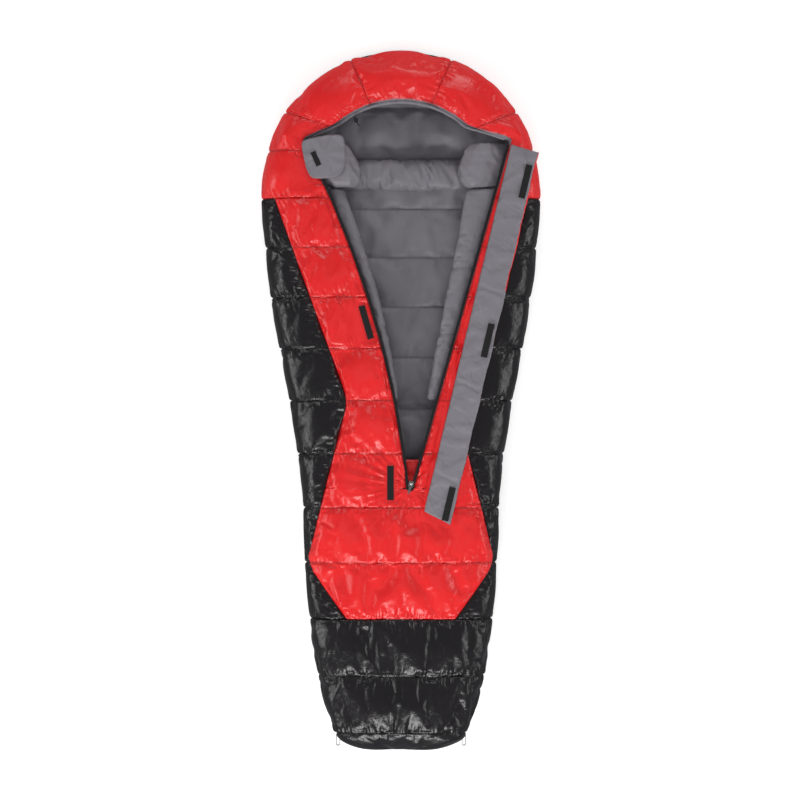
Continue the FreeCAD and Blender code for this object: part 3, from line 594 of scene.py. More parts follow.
def rowSection(row, side, inner=False):
    if row[0] == "body":
        y = row[1]
        closed = isClosed(row, lining["openBelow"] if inner else skin["openBelow"])
        edge = (0.0 if closed else edgeX(max(y, zipBottom), side), y)
        return section((side * halfWidth(y), y), edge, heightAt(y), inner, closed)
    silhouette, edge = hoodEnds(row[1], side)
    pull = 1 - skin["hoodInset"] * math.cos(math.radians(row[1]))
    return section((silhouette[0] * pull, neck + (silhouette[1] - neck) * pull), edge, inner=inner)


def boundaryShare(points, y):  # how far along a section the red panel begins
    lengths = travelled(points)
    share = lengths / lengths[-1]
    wide = np.abs(points[:, 0])
    peak = int(np.argmax(wide))
    target = panelHalf(y)
    return float(np.interp(-target, -wide[peak:], share[peak:]) if target < wide[peak] else share[peak])


def skinGrid(rows, side):
    nOut, nIn = skin["outerColumns"], skin["innerColumns"]
    grid = []
    for row in rows:
        line = rowSection(row, side)
        if row[0] == "body":
            share = atNeck = boundaryShare(line, np.clip(row[1], panelBottomY, neck))
        else:
            share = atNeck + (0.45 - atNeck) * min(1.0, (90 - row[1]) / 30)
        shares = np.concatenate([np.linspace(0, share, nOut + 1), np.linspace(share, 1, nIn + 1)[1:]])
        grid.append(alongLine(line, shares))
    return np.array(grid)


def seamDistances(rows, grid):
    # metres from each point to the nearest sewn line: rings and radial seams, panel seam, edges
    nOut = skin["outerColumns"]
    arc = travelled(grid, 1)
    onPanel = np.array([r[0] == "body" and panelBottomY <= r[1] <= neck + 1e-9 for r in rows])[:, None]
    closed = np.array([isClosed(r) for r in rows])[:, None]
    across = np.where(closed, arc, np.minimum(arc, arc[:, -1:] - arc))
    across = np.where(onPanel, np.minimum(across, np.abs(arc - arc[:, nOut:nOut + 1])), across)
    run = travelled(grid, 0)
    seamRows = [i for i, r in enumerate(rows) if r[2] == 0.0]
    along = np.min([np.abs(run - run[i]) for i in seamRows], axis=0)
    return across, along, arc, run


skinZones = {
    "hoodQuilt": (["hood_shell", "hood_side_down", "hood_top_down", "hood_baffle_walls"], "red"),
    "footQuilt": (["foot_shell", "foot_down"], "black"),
    "legQuilt": (["leg_shell", "leg_down", "leg_baffle_walls"], "red"),
    "sideQuiltLeft": (["side_shell_left", "side_down_left"], "black"),
    "sideQuiltRight": (["side_shell_right", "side_down_right"], "black"),
    "chestQuiltLeft": (["chest_shell_left", "chest_down_left", "front_baffle_walls_left"], "red"),
    "chestQuiltRight": (["chest_shell_right", "chest_down_right", "front_baffle_walls_right"], "red"),
}


def zoneOf(row, column, side):
    if row[0] == "hood" or row[1] >= neck - 1e-6:
        return "hoodQuilt"
    if row[1] < panelBottomY - 1e-6:
        return "footQuilt"
    if column < skin["outerColumns"]:
        return "sideQuiltLeft" if side < 0 else "sideQuiltRight"
    if isClosed(row):
        return "legQuilt"
    return "chestQuiltLeft" if side < 0 else "chestQuiltRight"


def buildSkin():
    rows = skinRows()
    last = len(rows) - 1
    columns = skin["outerColumns"] + skin["innerColumns"] + 1
    points, faces, pins, zones, flat, near, index = [], [], [], [], [], [], {}
    for side in (-1, 1):
        grid = skinGrid(rows, side)
        across, along, arc, run = seamDistances(rows, grid)
        normal = gridNormals(grid, -side)
        normal[:, -1, 0] = np.where([isClosed(r) for r in rows], 0, normal[:, -1, 0])
        share = np.array([r[2] for r in rows])
        crown = 0.4 * between(share) + 0.6 * np.sin(math.pi * share)
        rise = crown[:, None] * ramp(across, skin["panelGap"])
        calm = skin["sideCalm"] + (1 - skin["sideCalm"]) * np.clip((grid[:, :, 2] - 0.12) / 0.07, 0, 1)
        offset = (-skin["seamDepth"] + skin["puff"] * rise) * calm + uneven(grid, 0.09, 0.004) * rise * calm
        grid = grid + normal * offset[:, :, None]
        for r, row in enumerate(rows):
            closed = isClosed(row)
            for c in range(columns):
                if side > 0 and (r == last or closed and c == columns - 1):
                    index[(side, r, c)] = index[(-1, r, c)]
                    continue
                index[(side, r, c)] = len(points)
                p = grid[r, c].copy()
                if r == last or (closed and c == columns - 1):
                    p[0] = 0.0
                points.append(p)
                flat.append((side * (arc[r, c] - arc[r, -1]), run[r, columns // 2]))
                near.append([max(0.0, 1 - gap[r, c] / seamReach) for gap in (along, across)])
                onRing, onEdge = row[2] == 0.0 and r != last, c == columns - 1 and not closed
                onPanel = c == skin["outerColumns"] and row[0] == "body" and row[1] >= panelBottomY
                pins.append(r == 0 or c == 0 or onRing or onEdge or onPanel)
        for r in range(last):
            for c in range(columns - 1):
                ring = [index[(side, r + a, c + b)] for a, b in ((0, 0), (0, 1), (1, 1), (1, 0))]
                faces.append(ring if side < 0 else ring[::-1])
                zones.append(zoneOf(rows[r], c, side))
    return points, faces, np.array(pins, float), zones, flat, near


restingNodes = ("leg_loop_patch", "chest_loop_patch", "collar_tab", "zip_slider", "outer_pull")


def underThings(points, fade=0.065):  # 1 where a flap or patch lies on the quilt, fading to 0 beside it
    root, along, out, length = flapPlan()
    plan = points[:, :2] - root
    x, y = plan @ out, plan @ along
    gap = np.maximum.reduce([-x, x - stormFlap["width"], -0.026 - y, y - length])
    for name in restingNodes:
        low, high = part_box(name)
        place = points[:, :2]
        gap = np.minimum(gap, np.maximum.reduce([low[0] - place[:, 0], place[:, 0] - high[0],
                                                 low[1] - place[:, 1], place[:, 1] - high[1]]))
    near = np.clip(1 - (gap - underLid["edge"]) / fade, 0, 1)
    return near * near * (3 - 2 * near)


underLid = {"start": 0.186, "limit": 0.1985, "edge": 0.004}


def pressUnder(points):
    weight = underThings(points)
    start, room = underLid["start"], underLid["limit"] - underLid["start"]
    high = points[:, 2] - start
    pressed = start + room * np.tanh(np.maximum(high, 0) / room)
    points[:, 2] = np.where(high > 0, points[:, 2] + (pressed - points[:, 2]) * weight, points[:, 2])
    return points


def splitSkin(whole, zones, flat, near):
    points = pressUnder(readPoints(whole))
    polygons = [tuple(p.vertices) for p in whole.data.polygons]
    zones = np.array(zones)
    for name, (nodes, colour) in skinZones.items():
        piece, used = usedMesh(name, points, [polygons[i] for i in np.nonzero(zones == name)[0]])
        setUv(piece, [flat[v] for v in used])
        setNear(piece, [near[v][0] for v in used])
        setNear(piece, [near[v][1] for v in used], "sideNear")
        finishSoft(piece)
        pressFolds(piece, name.startswith("chest"))
        addPiece(piece, redNylon if colour == "red" else blackNylon, "bag", nodes)
    bpy.data.objects.remove(whole)


points, faces, pins, zones, flat, near = buildSkin()
wholeSkin = newMesh("wholeSkin", points, faces)
reach = skin["travel"] * (0.30 + 0.70 * np.clip((readPoints(wholeSkin)[:, 2] - 0.11) / 0.07, 0, 1))
settle(wholeSkin, pins, skin["growth"], skin["pressure"], skin["frames"], reach, bending=0.2)
splitSkin(wholeSkin, zones, flat, near)
print("front quilt sewn")


def buildLining():
    rows = skinRows()
    keep = [i for i, r in enumerate(rows) if i % lining["rowSkip"] == 0 or r[2] == 0.0 or i == len(rows) - 1]
    rows = [rows[i] for i in keep]
    neckRow = max(i for i, r in enumerate(rows) if r[0] == "body")
    for side, word in ((-1, "left"), (1, "right")):
        shares = np.linspace(0, 1, lining["columns"] + 1)
        grid = np.array([alongLine(rowSection(r, side, inner=True), shares) for r in rows])
        arc, run = travelled(grid, 1), travelled(grid[:, lining["measuredColumn"]])
        normal = gridNormals(grid, side)
        t = np.array([r[2] for r in rows])
        rise = between(t)[:, None] * ramp(np.minimum(arc, arc[:, -1:] - arc), 0.04)
        past = np.array([r[1] if r[0] == "body" else neck for r in rows]) - zipBottom
        # flat where the inner pull swings
        room = np.clip((past - lining["flatTo"]) / lining["flatFade"], 0, 1)
        rise = rise * np.where(past > -skin["openBelow"], room, 1.0)[:, None]
        waves = uneven(grid, 0.05, lining["waves"], side)
        offset = lining["puff"] * rise - lining["seamDepth"] + waves * rise
        grid = grid + normal * offset[:, :, None]
        closed = np.array([isClosed(r, lining["openBelow"]) for r in rows])
        grid[closed, -1, 0] = 0.0
        grid[-1, :, 0] = 0.0
        parts = ((f"frontLining{word.title()}", 0, neckRow, [f"top_lining_{word}"]),
                 (f"hoodLining{word.title()}", neckRow, len(rows) - 1, ["hood_lining"]))
        for name, start, stop, nodes in parts:
            block = grid[start:stop + 1]
            count, wide = block.shape[:2]
            ids = np.arange(count * wide).reshape(count, wide)
            faces = gridFaces(ids)
            if side < 0:
                faces = [f[::-1] for f in faces]
            piece = newMesh(name, block.reshape(-1, 3), faces)
            setUv(piece, [(arc[start + r, c], run[start + r]) for r in range(count) for c in range(wide)])
            near = [max(0.0, 1 - 3 * abs(np.sin(math.pi * t[start + r]))) for r in range(count)]
            setNear(piece, np.repeat(near, wide))
            finishSoft(piece)
            addPiece(piece, greyLining, "bag", nodes)


buildLining()
print("front lining sewn")


# base quilt: black shell below, grey lining above

base = {"seamShift": -0.026, "hoodSeams": (0.745, 0.90), "headGap": 0.004, "columns": 64, "rowStep": 0.011,
        "puff": 0.016, "topZ": 0.0455, "edgeZ": 0.047, "inset": 0.013, "topRound": 0.05, "lowRound": 0.045,
        "bulge": 0.012, "border": 0.036, "headBorder": 0.04, "growth": 0.035, "pressure": 2.5, "frames": 10,
        "travel": 0.010}


def buildBase():
    seams = [ringSeams[0]] + [y + base["seamShift"] for y in ringSeams[1:]]
    seams += [*base["hoodSeams"], headEnd - base["headGap"]]
    rows = []
    for low, high in zip(seams, seams[1:]):
        count = int(round((high - low) / base["rowStep"]))
        rows += [(low + (high - low) * k / count, k / count) for k in range(count)]
    rows += [(y, 0.0) for y in (seams[-1], headEnd - 0.0022, headEnd - 0.0010)]
    n = base["columns"]
    spread = np.sin(np.linspace(-math.pi / 2, math.pi / 2, n + 1))
    spread = 0.55 * spread + 0.45 * np.linspace(-1, 1, n + 1)
    topPoints, lowPoints = [], []
    for y, t in rows:
        half = max(halfWidth(y) - base["inset"], 0.002)
        x = spread * half
        toEdge = half - np.abs(x)
        rise = between(t) * ramp(toEdge, base["topRound"])
        topPoints.append(np.stack([x, np.full(n + 1, y), base["topZ"] + base["puff"] * rise], axis=1))
        z = base["edgeZ"] - base["edgeZ"] * ramp(toEdge, base["lowRound"])
        bulge = base["bulge"] * np.sin(math.pi * np.clip(z / base["edgeZ"], 0, 1)) * (0.5 + 0.5 * between(t))
        lowX = x + np.sign(x) * bulge * (y < neck)
        lowPoints.append(np.stack([lowX, np.full(n + 1, y) + bulge * (y > neck + 0.3), z], axis=1))
    top, low = np.array(topPoints), np.array(lowPoints)
    top[:, :, 2] += uneven(top, 0.07, 0.004) * (top[:, :, 2] > 0.05)
    low[:, 0], low[:, -1] = top[:, 0], top[:, -1]
    low[0], low[-1] = top[0], top[-1]
    count = len(rows)
    ids = np.arange(count * (n + 1)).reshape(count, n + 1)
    below = ids + count * (n + 1)
    below[:, 0], below[:, -1], below[0], below[-1] = ids[:, 0], ids[:, -1], ids[0], ids[-1]
    faces, kinds = [], []
    for r in range(count - 1):
        for c in range(n):
            faces.append([ids[r, c], ids[r, c + 1], ids[r + 1, c + 1], ids[r + 1, c]])
            spotX, spotY = abs(top[r, c, 0] + top[r, c + 1, 0]) / 2, top[r, c, 1]
            inside = halfWidth(min(spotY + 0.02, headEnd)) - base["border"]
            kinds.append(1 if spotY > headEnd - base["headBorder"] or spotX > inside else 0)
            faces.append([below[r, c], below[r + 1, c], below[r + 1, c + 1], below[r, c + 1]])
            kinds.append(1)
    points = np.vstack([top.reshape(-1, 3), low.reshape(-1, 3)])
    piece, used = usedMesh("baseQuilt", points, faces)
    t = np.array([r[1] for r in rows])
    lines = np.repeat(t == 0.0, n + 1)
    border = np.zeros((count, n + 1), bool)
    border[:, 0] = border[:, -1] = border[0] = border[-1] = True
    held = np.concatenate([lines | border.ravel(), np.ones(count * (n + 1), bool)])
    ys = np.array([r[0] for r in rows])
    toSeam = np.min([np.abs(ys - y) for y in seams], axis=0)
    topNear = np.repeat(np.clip(1 - toSeam / seamReach, 0, 1), n + 1)
    near = np.concatenate([topNear, np.zeros(count * (n + 1))])
    flat = np.vstack([top.reshape(-1, 3)[:, :2], low.reshape(-1, 3)[:, :2]])
    settle(piece, held[used], base["growth"], base["pressure"], base["frames"], base["travel"])
    setUv(piece, [tuple(flat[v]) for v in used])
    setNear(piece, [near[v] for v in used])
    piece.data.materials.append(greyLining)
    piece.data.materials.append(blackNylon)
    for polygon, kind in zip(piece.data.polygons, kinds):
        polygon.material_index = kind
    finishSoft(piece)
    nodes = ["base_shell", "base_lining", "base_down", "base_baffle_walls"]
    addPiece(piece, greyLining, "bag", nodes)


buildBase()
print("base quilt sewn")


# foot end

footEnd = {"rings": 14, "around": 96, "depth": 0.047, "middleZ": 0.088, "inset": 0.985, "tuck": 0.004,
           "growth": 0.04, "pressure": 2.0, "frames": 10, "travel": 0.008}


def buildFootEnd():
    w = halfWidth(footSeam)
    over = np.vstack([rowSection(("body", footSeam, 0.0), 1), rowSection(("body", footSeam, 0.0), -1)[::-1]])
    under = rounded([(-w + 0.014, footSeam, 0.05), (-w + 0.02, footSeam, 0.01), (-w + 0.06, footSeam, 0.001),
                     (w - 0.06, footSeam, 0.001), (w - 0.02, footSeam, 0.01), (w - 0.014, footSeam, 0.05)])
    outline = alongLine(np.vstack([over, under[1:]]), np.linspace(0, 1, footEnd["around"] + 1)[:-1])
    middle = np.array([0.0, footSeam, footEnd["middleZ"]])
    points = []
    for k in range(footEnd["rings"]):
        t = k / (footEnd["rings"] - 1)
        shrink = math.cos(t * math.pi / 2) ** 0.62 if k < footEnd["rings"] - 1 else 0.0
        depth = footEnd["depth"] * math.sin(t * math.pi / 2) ** 0.9
        ring = middle + (outline - middle) * (footEnd["inset"] * shrink)
        ring[:, 1] = footSeam - depth
        ring[:, 1] += uneven(ring, 0.05, 0.004) * math.sin(t * math.pi)
        ring[:, 2] = np.maximum(ring[:, 2], 0.0005)
        points.append(ring)
    rim = outline.copy()
    rim[:, 1] += footEnd["tuck"]
    points.insert(0, middle + (rim - middle) * np.array([0.97, 1, 0.97]))
    grid = np.array(points)
    count, around = grid.shape[:2]
    ids = np.arange((count - 1) * around).reshape(count - 1, around)
    faces = gridFaces(ids, around=True) + capFaces(ids[-1], (count - 1) * around)
    tip = middle - np.array([0, footEnd["depth"], 0])
    piece = newMesh("footEndQuilt", np.vstack([grid[:-1].reshape(-1, 3), [tip]]), faces)
    flat = [(v.co.x, v.co.z) for v in piece.data.vertices]
    setUv(piece, flat)
    setNear(piece, [1.0 if i < 2 * around else max(0.0, 1 - (i // around - 1) / 5) for i in range(len(flat))])
    held = np.array([i < 2 * around for i in range(len(flat))])
    finishNormals(piece)
    settle(piece, held, footEnd["growth"], footEnd["pressure"], footEnd["frames"], footEnd["travel"])
    finishSoft(piece)
    addPiece(piece, blackNylon, "bag", ["foot_end_shell", "foot_end_down", "foot_end_lining"])


buildFootEnd()
print("foot end sewn")


# rolls and flaps: closed padded shapes with their seams held

def resampleClosed(loop, around, rounds=2):
    loop = np.array(loop, float)
    for _ in range(rounds):
        after = np.roll(loop, -1, axis=0)
        loop = np.stack([loop * 0.75 + after * 0.25, loop * 0.25 + after * 0.75], axis=1).reshape(-1, 3)
    return alongLine(np.vstack([loop, loop[:1]]), np.linspace(0, 1, around + 1)[:-1])


def roll(name, loops, body, nodes, spacing, around, pucker, puckerSize, growth, pressure, travel,
         seams=(), rounds=2, crease=0.0):
    # loops are sections along the roll; seams are shares of its length that are stitched through
    rings = np.array([resampleClosed(loop, around, rounds) for loop in loops])
    centres = rings.mean(axis=1)
    lengths = travelled(centres)
    count = max(8, int(lengths[-1] / spacing))
    shares = np.linspace(0, 1, count + 1)
    places = shares * lengths[-1]
    body3 = np.stack([np.stack([np.interp(places, lengths, rings[:, a, k]) for k in range(3)], axis=1)
                      for a in range(around)], axis=1)
    middle = body3.mean(axis=1, keepdims=True)
    toEnd = np.minimum(places, lengths[-1] - places)
    radius = np.linalg.norm(body3 - middle, axis=2).mean()
    scale = 0.35 + 0.65 * ramp(toEnd, max(0.6 * radius, 0.004))
    for seam in seams:
        scale *= 1 - 0.16 * np.exp(-((places - seam * lengths[-1]) / 0.006) ** 2)
    out = (body3 - middle)
    size = np.linalg.norm(out, axis=2, keepdims=True)
    ridges = np.array([[noise.noise(Vector((places[r] / puckerSize * 2.2, a / around * 5, 3.1)))
                        for a in range(around)] for r in range(count + 1)])
    grid = middle + out * scale[:, None, None] + out / np.maximum(size, 1e-9) * (ridges * pucker)[:, :, None]
    ids = np.arange((count + 1) * around).reshape(count + 1, around)
    points = np.vstack([grid.reshape(-1, 3), grid[0].mean(axis=0)[None], grid[-1].mean(axis=0)[None]])
    low, high = len(points) - 2, len(points) - 1
    faces = gridFaces(ids, around=True) + [[b, a, tip] for a, b, tip in capFaces(ids[0], low)]
    faces += capFaces(ids[-1], high)
    piece = newMesh(name, points, faces)
    finishNormals(piece)
    pins = np.zeros(len(points))
    pins[ids[0]] = pins[ids[-1]] = pins[low] = pins[high] = 1
    for seam in seams:
        pins[ids[int(round(seam * count))]] = 1
    settle(piece, pins, growth, pressure, 9, travel, bending=0.15)
    arc = np.linspace(0, 2 * math.pi * radius, around)
    flat = [(arc[a], places[r]) for r in range(count + 1) for a in range(around)]
    setUv(piece, flat + [(0, 0), (0, places[-1])])
    near = np.clip(1 - toEnd / 0.02, 0, 1)
    for seam in seams:
        near = np.maximum(near, np.clip(1 - np.abs(places - seam * lengths[-1]) / 0.02, 0, 1))
    setNear(piece, np.concatenate([np.repeat(np.maximum(near, 0.25), around), [1, 1]]))
    finishSoft(piece)
    if crease:
        pressCreases(piece, crease, 0.022)
    addPiece(piece, greyLining, body, nodes)


def quiltedFlap(name, grid, zLow, zHigh, materials, body, nodes, growth, pressure, travel, ripple,
                seamRows=(), edge=0.012, wrapFrom=2.0, ceiling=0.0):
    # grid: rows by columns of plan points; the top and underside meet in a sewn border
    # from wrapFrom of its length on, the underside's cloth wraps the outer edge
    rows, columns = grid.shape[:2]
    arc, run = travelled(grid, 1), travelled(grid[:, columns // 2])
    toSide = np.minimum(arc, arc[:, -1:] - arc)
    toEnd = np.minimum(run, run[-1] - run)[:, None]
    full = ramp(np.minimum(toSide, toEnd), edge)
    for row in seamRows:
        full = full * (1 - 0.45 * np.exp(-((run - run[row]) / 0.008) ** 2))[:, None]
    mid, half = (zLow + zHigh) / 2, (zHigh - zLow) / 2
    plan = np.zeros((rows, columns, 3))
    plan[:, :, :2] = grid[:, :, :2]
    top, under = plan.copy(), plan.copy()
    waves = uneven(plan, 0.045, ripple) * full
    top[:, :, 2] = mid + (half - ripple) * full + waves
    under[:, :, 2] = mid - (half - ripple) * full * 0.9
    ids = np.arange(rows * columns).reshape(rows, columns)
    below = ids + rows * columns
    for line in (np.s_[0, :], np.s_[-1, :], np.s_[:, 0], np.s_[:, -1]):
        below[line] = ids[line]
    faces, kinds = [], []
    for r in range(rows - 1):
        for c in range(columns - 1):
            faces.append([ids[r, c], ids[r, c + 1], ids[r + 1, c + 1], ids[r + 1, c]])
            faces.append([below[r, c], below[r + 1, c], below[r + 1, c + 1], below[r, c + 1]])
            kinds += [1 if c == columns - 2 and r > wrapFrom * rows else 0, 1]
    points = np.vstack([top.reshape(-1, 3), under.reshape(-1, 3)])
    border = np.zeros((rows, columns), bool)
    border[0] = border[-1] = border[:, 0] = border[:, -1] = True
    for row in seamRows:
        border[row] = True
    piece, used = usedMesh(name, points, faces)
    finishNormals(piece)
    held = np.tile(border.ravel(), 2)[used]
    settle(piece, held, growth, pressure, 9, travel, bending=0.1, stiff=9.0)
    flat = np.stack([arc, np.repeat(run[:, None], columns, axis=1)], axis=2).reshape(-1, 2)
    flat = np.vstack([flat, flat])
    near = np.clip(1 - np.minimum(toSide, toEnd) / 0.022, 0, 1).ravel()
    near = np.maximum(np.concatenate([near, near]), 0.15)
    setUv(piece, [tuple(flat[v]) for v in used])
    setNear(piece, near[used])
    for material in materials:
        piece.data.materials.append(material)
    if len(materials) > 1:
        for polygon, kind in zip(piece.data.polygons, kinds):
            polygon.material_index = kind
    finishSoft(piece)
    pressCreases(piece, 0.0011, 0.020, 3.5, 1.2)
    if ceiling:
        points = readPoints(piece)
        start = ceiling - 0.003
        high = points[:, 2] - start
        points[:, 2] = np.where(high > 0, start + 0.003 * np.tanh(high / 0.003), points[:, 2])
        points[:, 2] -= [flapSag(p[0], p[1]) for p in points]
        writePoints(piece, points)
    addPiece(piece, materials[0], body, nodes)


rim = {"width": 0.014, "height": 0.011, "middleZ": 0.176, "gap": 0.0004, "lastAngle": 61.5, "stations": 70}


def rimPlace(angle, side, inside, z):
    silhouette, edge = hoodEnds(angle, side)
    way = np.array(edge) - np.array(silhouette)
    way /= np.linalg.norm(way)
    spot = np.array(edge) + way * inside
    return (spot[0], spot[1], z)


def buildRim():
    loops = []
    for turn in np.linspace(-rim["lastAngle"], rim["lastAngle"], rim["stations"]):
        side = -1 if turn < 0 else 1
        loop = []
        for k in range(8):
            a = 2 * math.pi * (k + 0.5) / 8
            loop.append(rimPlace(abs(turn), side, rim["gap"] + rim["width"] * (0.5 - 0.5 * math.cos(a)),
                                 rim["middleZ"] + 0.5 * rim["height"] * math.sin(a)))
        loops.append(loop)
    roll("rimBinding", loops, "bag", ["hood_rim_binding"], spacing=0.004, around=16,
         pucker=0.0016, puckerSize=0.010, growth=0.02, pressure=0.5, travel=0.001, rounds=1)


buildRim()


drawcord = {"angle": 30.0, "diameter": 0.003, "tail": 0.040, "z": 0.176}


def buildDrawcord():
    a = math.radians(drawcord["angle"])
    reach = rimDistance(drawcord["angle"], -1) - rim["gap"] - rim["width"] / 2
    line = [Vector((-(reach - d) * math.sin(a), neck + (reach - d) * math.cos(a), drawcord["z"]))
            for d in (0.0, 0.010, 0.020, 0.030, drawcord["tail"])]
    curve = bpy.data.curves.new("drawcordTail", "CURVE")
    curve.dimensions = "3D"
    curve.bevel_depth = drawcord["diameter"] / 2
    curve.bevel_resolution = 5
    curve.resolution_u = 8
    curve.use_fill_caps = True
    spline = curve.splines.new("NURBS")
    spline.points.add(len(line) - 1)
    for point, place in zip(spline.points, line):
        point.co = (*place, 1)
    spline.order_u = 3
    spline.use_endpoint_u = True
    cord = newObject("drawcordTail", curve)
    curve.materials.append(cordBlack)
    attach(cord, "bag")
    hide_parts("hood_drawcord")


buildDrawcord()
print("rim and drawcord made")


tubes = {"low": 0.125, "high": 0.163, "leftWidths": (0.016, 0.054), "rightWidths": (0.036, 0.092),
         "gap": 0.0004,
         "corners": ((0, 0.3), (0, 0.7), (0.3, 1), (0.7, 1), (1, 0.7), (1, 0.3), (0.7, 0), (0.3, 0))}
collar = {"y": neck + 0.030, "depth": 0.097, "loft": 0.044, "z": 0.0504, "sideWidth": 0.128, "sideZ": 0.0964,
          "sideInset": 0.084}


def buildTubes():
    start, stop = waistY, collar["y"] + 0.004 - tubes["gap"]
    for word, side, (narrow, wide) in (("Left", -1, tubes["leftWidths"]), ("Right", 1, tubes["rightWidths"])):
        loops = []
        for share in np.linspace(0, 1, 12):
            y = start + (stop - start) * share
            width = narrow + (wide - narrow) * share
            x = edgeX(y, side) - side * tubes["gap"]
            loops.append([(x - side * width * a, y, tubes["low"] + (tubes["high"] - tubes["low"]) * b)
                          for a, b in tubes["corners"]])
        roll(f"draftTube{word}", loops, "bag", [f"draft_tube_{word.lower()}"], spacing=0.0065, around=26,
             seams=(0.31, 0.62), pucker=0.0008, puckerSize=0.022, growth=0.04, pressure=1.2, travel=0.0025,
             rounds=1, crease=0.0012)


def buildCollar():
    half = halfWidth(collar["y"] + collar["depth"]) - collar["sideInset"]
    loops = []
    for x, high in ((-half, 0.6), (-half * 0.7, 0.95), (0, 0.95), (half * 0.7, 0.95), (half, 0.6)):
        loops.append([(x, collar["y"] + collar["depth"] * a, collar["z"] + collar["loft"] * b * high)
                      for a, b in ((0, 0), (1, 0), (1, 0.55), (0.72, 1), (0.28, 1), (0, 0.55))])
    roll("collarBack", loops, "bag", ["collar_back"], spacing=0.007, around=36,
         pucker=0.0015, puckerSize=0.018, growth=0.06, pressure=2.0, travel=0.006, crease=0.0042)
    for word, side, edgeTop, innerTop in (("Left", -1, 0.192, 0.1995), ("Right", 1, 0.163, 0.190)):
        loops = []
        for y, width in ((collar["y"] + 0.004, 0.8), (collar["y"] + 0.054, 1.0), (zipTop - 0.008, 1.0)):
            x0 = edgeX(y, side) - side * tubes["gap"]
            x1 = x0 - side * collar["sideWidth"] * width
            loops.append([(x0, y, collar["sideZ"]), (x1, y, collar["sideZ"] + 0.008),
                          (x1, y, innerTop), (x0, y, edgeTop)])
        roll(f"collar{word}", loops, "bag", [f"collar_{word.lower()}"], spacing=0.006, around=44,
             pucker=0.002, puckerSize=0.026, growth=0.06, pressure=1.6, travel=0.006, rounds=1, crease=0.0060)


buildTubes()
buildCollar()
print("draft tubes and collar made")


collarFlap = {"width": 0.138, "length": 0.138, "low": 0.2017, "high": 0.2132,
              "around": 72, "wall": 0.001, "outline": ((0, 0.04), (0, 0.82), (-0.12, 1.0), (-0.95, 0.86),
                                                       (-1.0, 0.72), (-0.84, 0.02), (-0.6, -0.04))}


def buildCollarFlap():
    rootX = edgeX(zipTop, -1) + collar["sideWidth"] + 0.004
    y0 = zipTop - collarFlap["length"] + 0.018
    loop = resampleClosed([(rootX + collarFlap["width"] * a, y0 + collarFlap["length"] * b, 0)
                           for a, b in collarFlap["outline"]], collarFlap["around"])
    middle = loop.mean(axis=0)
    mid = (collarFlap["low"] + collarFlap["high"]) / 2
    half = (collarFlap["high"] - collarFlap["low"]) / 2 - collarFlap["wall"]
    shares = (1.0, 0.97, 0.92, 0.85, 0.76, 0.66, 0.55, 0.43, 0.3, 0.16)
    points = []
    for sign in (1, -1):
        for share in shares:
            if sign < 0 and share == 1.0:
                continue
            ring = middle + (loop - middle) * share
            rise = ramp((1 - share) * 0.06, 0.007)
            ring[:, 2] = mid + sign * half * rise + uneven(ring, 0.03, 0.0012) * rise
            points.append(ring)
    around, count = len(loop), len(shares)
    upper = np.arange(count * around).reshape(count, around)
    lower = np.vstack([upper[:1], upper[1:] + (count - 1) * around])
    tips = [[middle[0], middle[1], mid + half], [middle[0], middle[1], mid - half]]
    allPoints = np.vstack([*points, tips])
    faces = gridFaces(upper, around=True) + gridFaces(lower, around=True)
    faces += capFaces(upper[-1], len(allPoints) - 2) + capFaces(lower[-1], len(allPoints) - 1)
    piece = newMesh("collarFlap", allPoints, faces)
    finishNormals(piece)
    held = np.zeros(len(allPoints))
    held[:around] = 1
    settle(piece, held, 0.035, 1.2, 9, 0.003, bending=0.1, stiff=9.0)
    setUv(piece, [(p[0], p[1]) for p in allPoints])
    near = np.full(len(allPoints), 0.2)
    near[:around * 3] = 0.9
    setNear(piece, near)
    finishSoft(piece)
    addPiece(piece, greyLining, "collar_flap", ["collar_tab"])


def buildStormFlap():
    root, along, out, length = flapPlan()
    rows, columns = stormFlap["rows"], stormFlap["columns"]
    grid = np.zeros((rows + 1, columns + 1, 3))
    for r in range(rows + 1):
        for c in range(columns + 1):
            x = stormFlap["width"] * c / columns
            low, high = -0.024 * c / columns, length - 0.004 * c / columns
            y = low + (high - low) * r / rows
            if c == columns and 0.02 < y < length - 0.02:  # the free edge waves a little
                x += 0.0018 * math.sin(y * 38 + 1)
            grid[r, c, :2] = root + along * y + out * x
    creases = [int(rows * share) for share in (stormFlap["creaseAt"], 0.36, 0.62)]
    quiltedFlap("stormFlap", grid, stormFlap["low"], stormFlap["high"], [greyLining, redNylon], "storm_flap",
                ["flap_shell", "flap_down", "flap_lining"], seamRows=creases, edge=0.010,
                growth=0.05, pressure=1.2, travel=0.003, ripple=0.0014, wrapFrom=0.62, ceiling=0.2150)


hookPatch = {"width": 0.020, "length": 0.105, "inset": 0.012, "thickness": 0.0013, "z": 0.2153,
             "places": {"Bottom": 0.035, "Middle": 0.479, "Top": 0.911}}


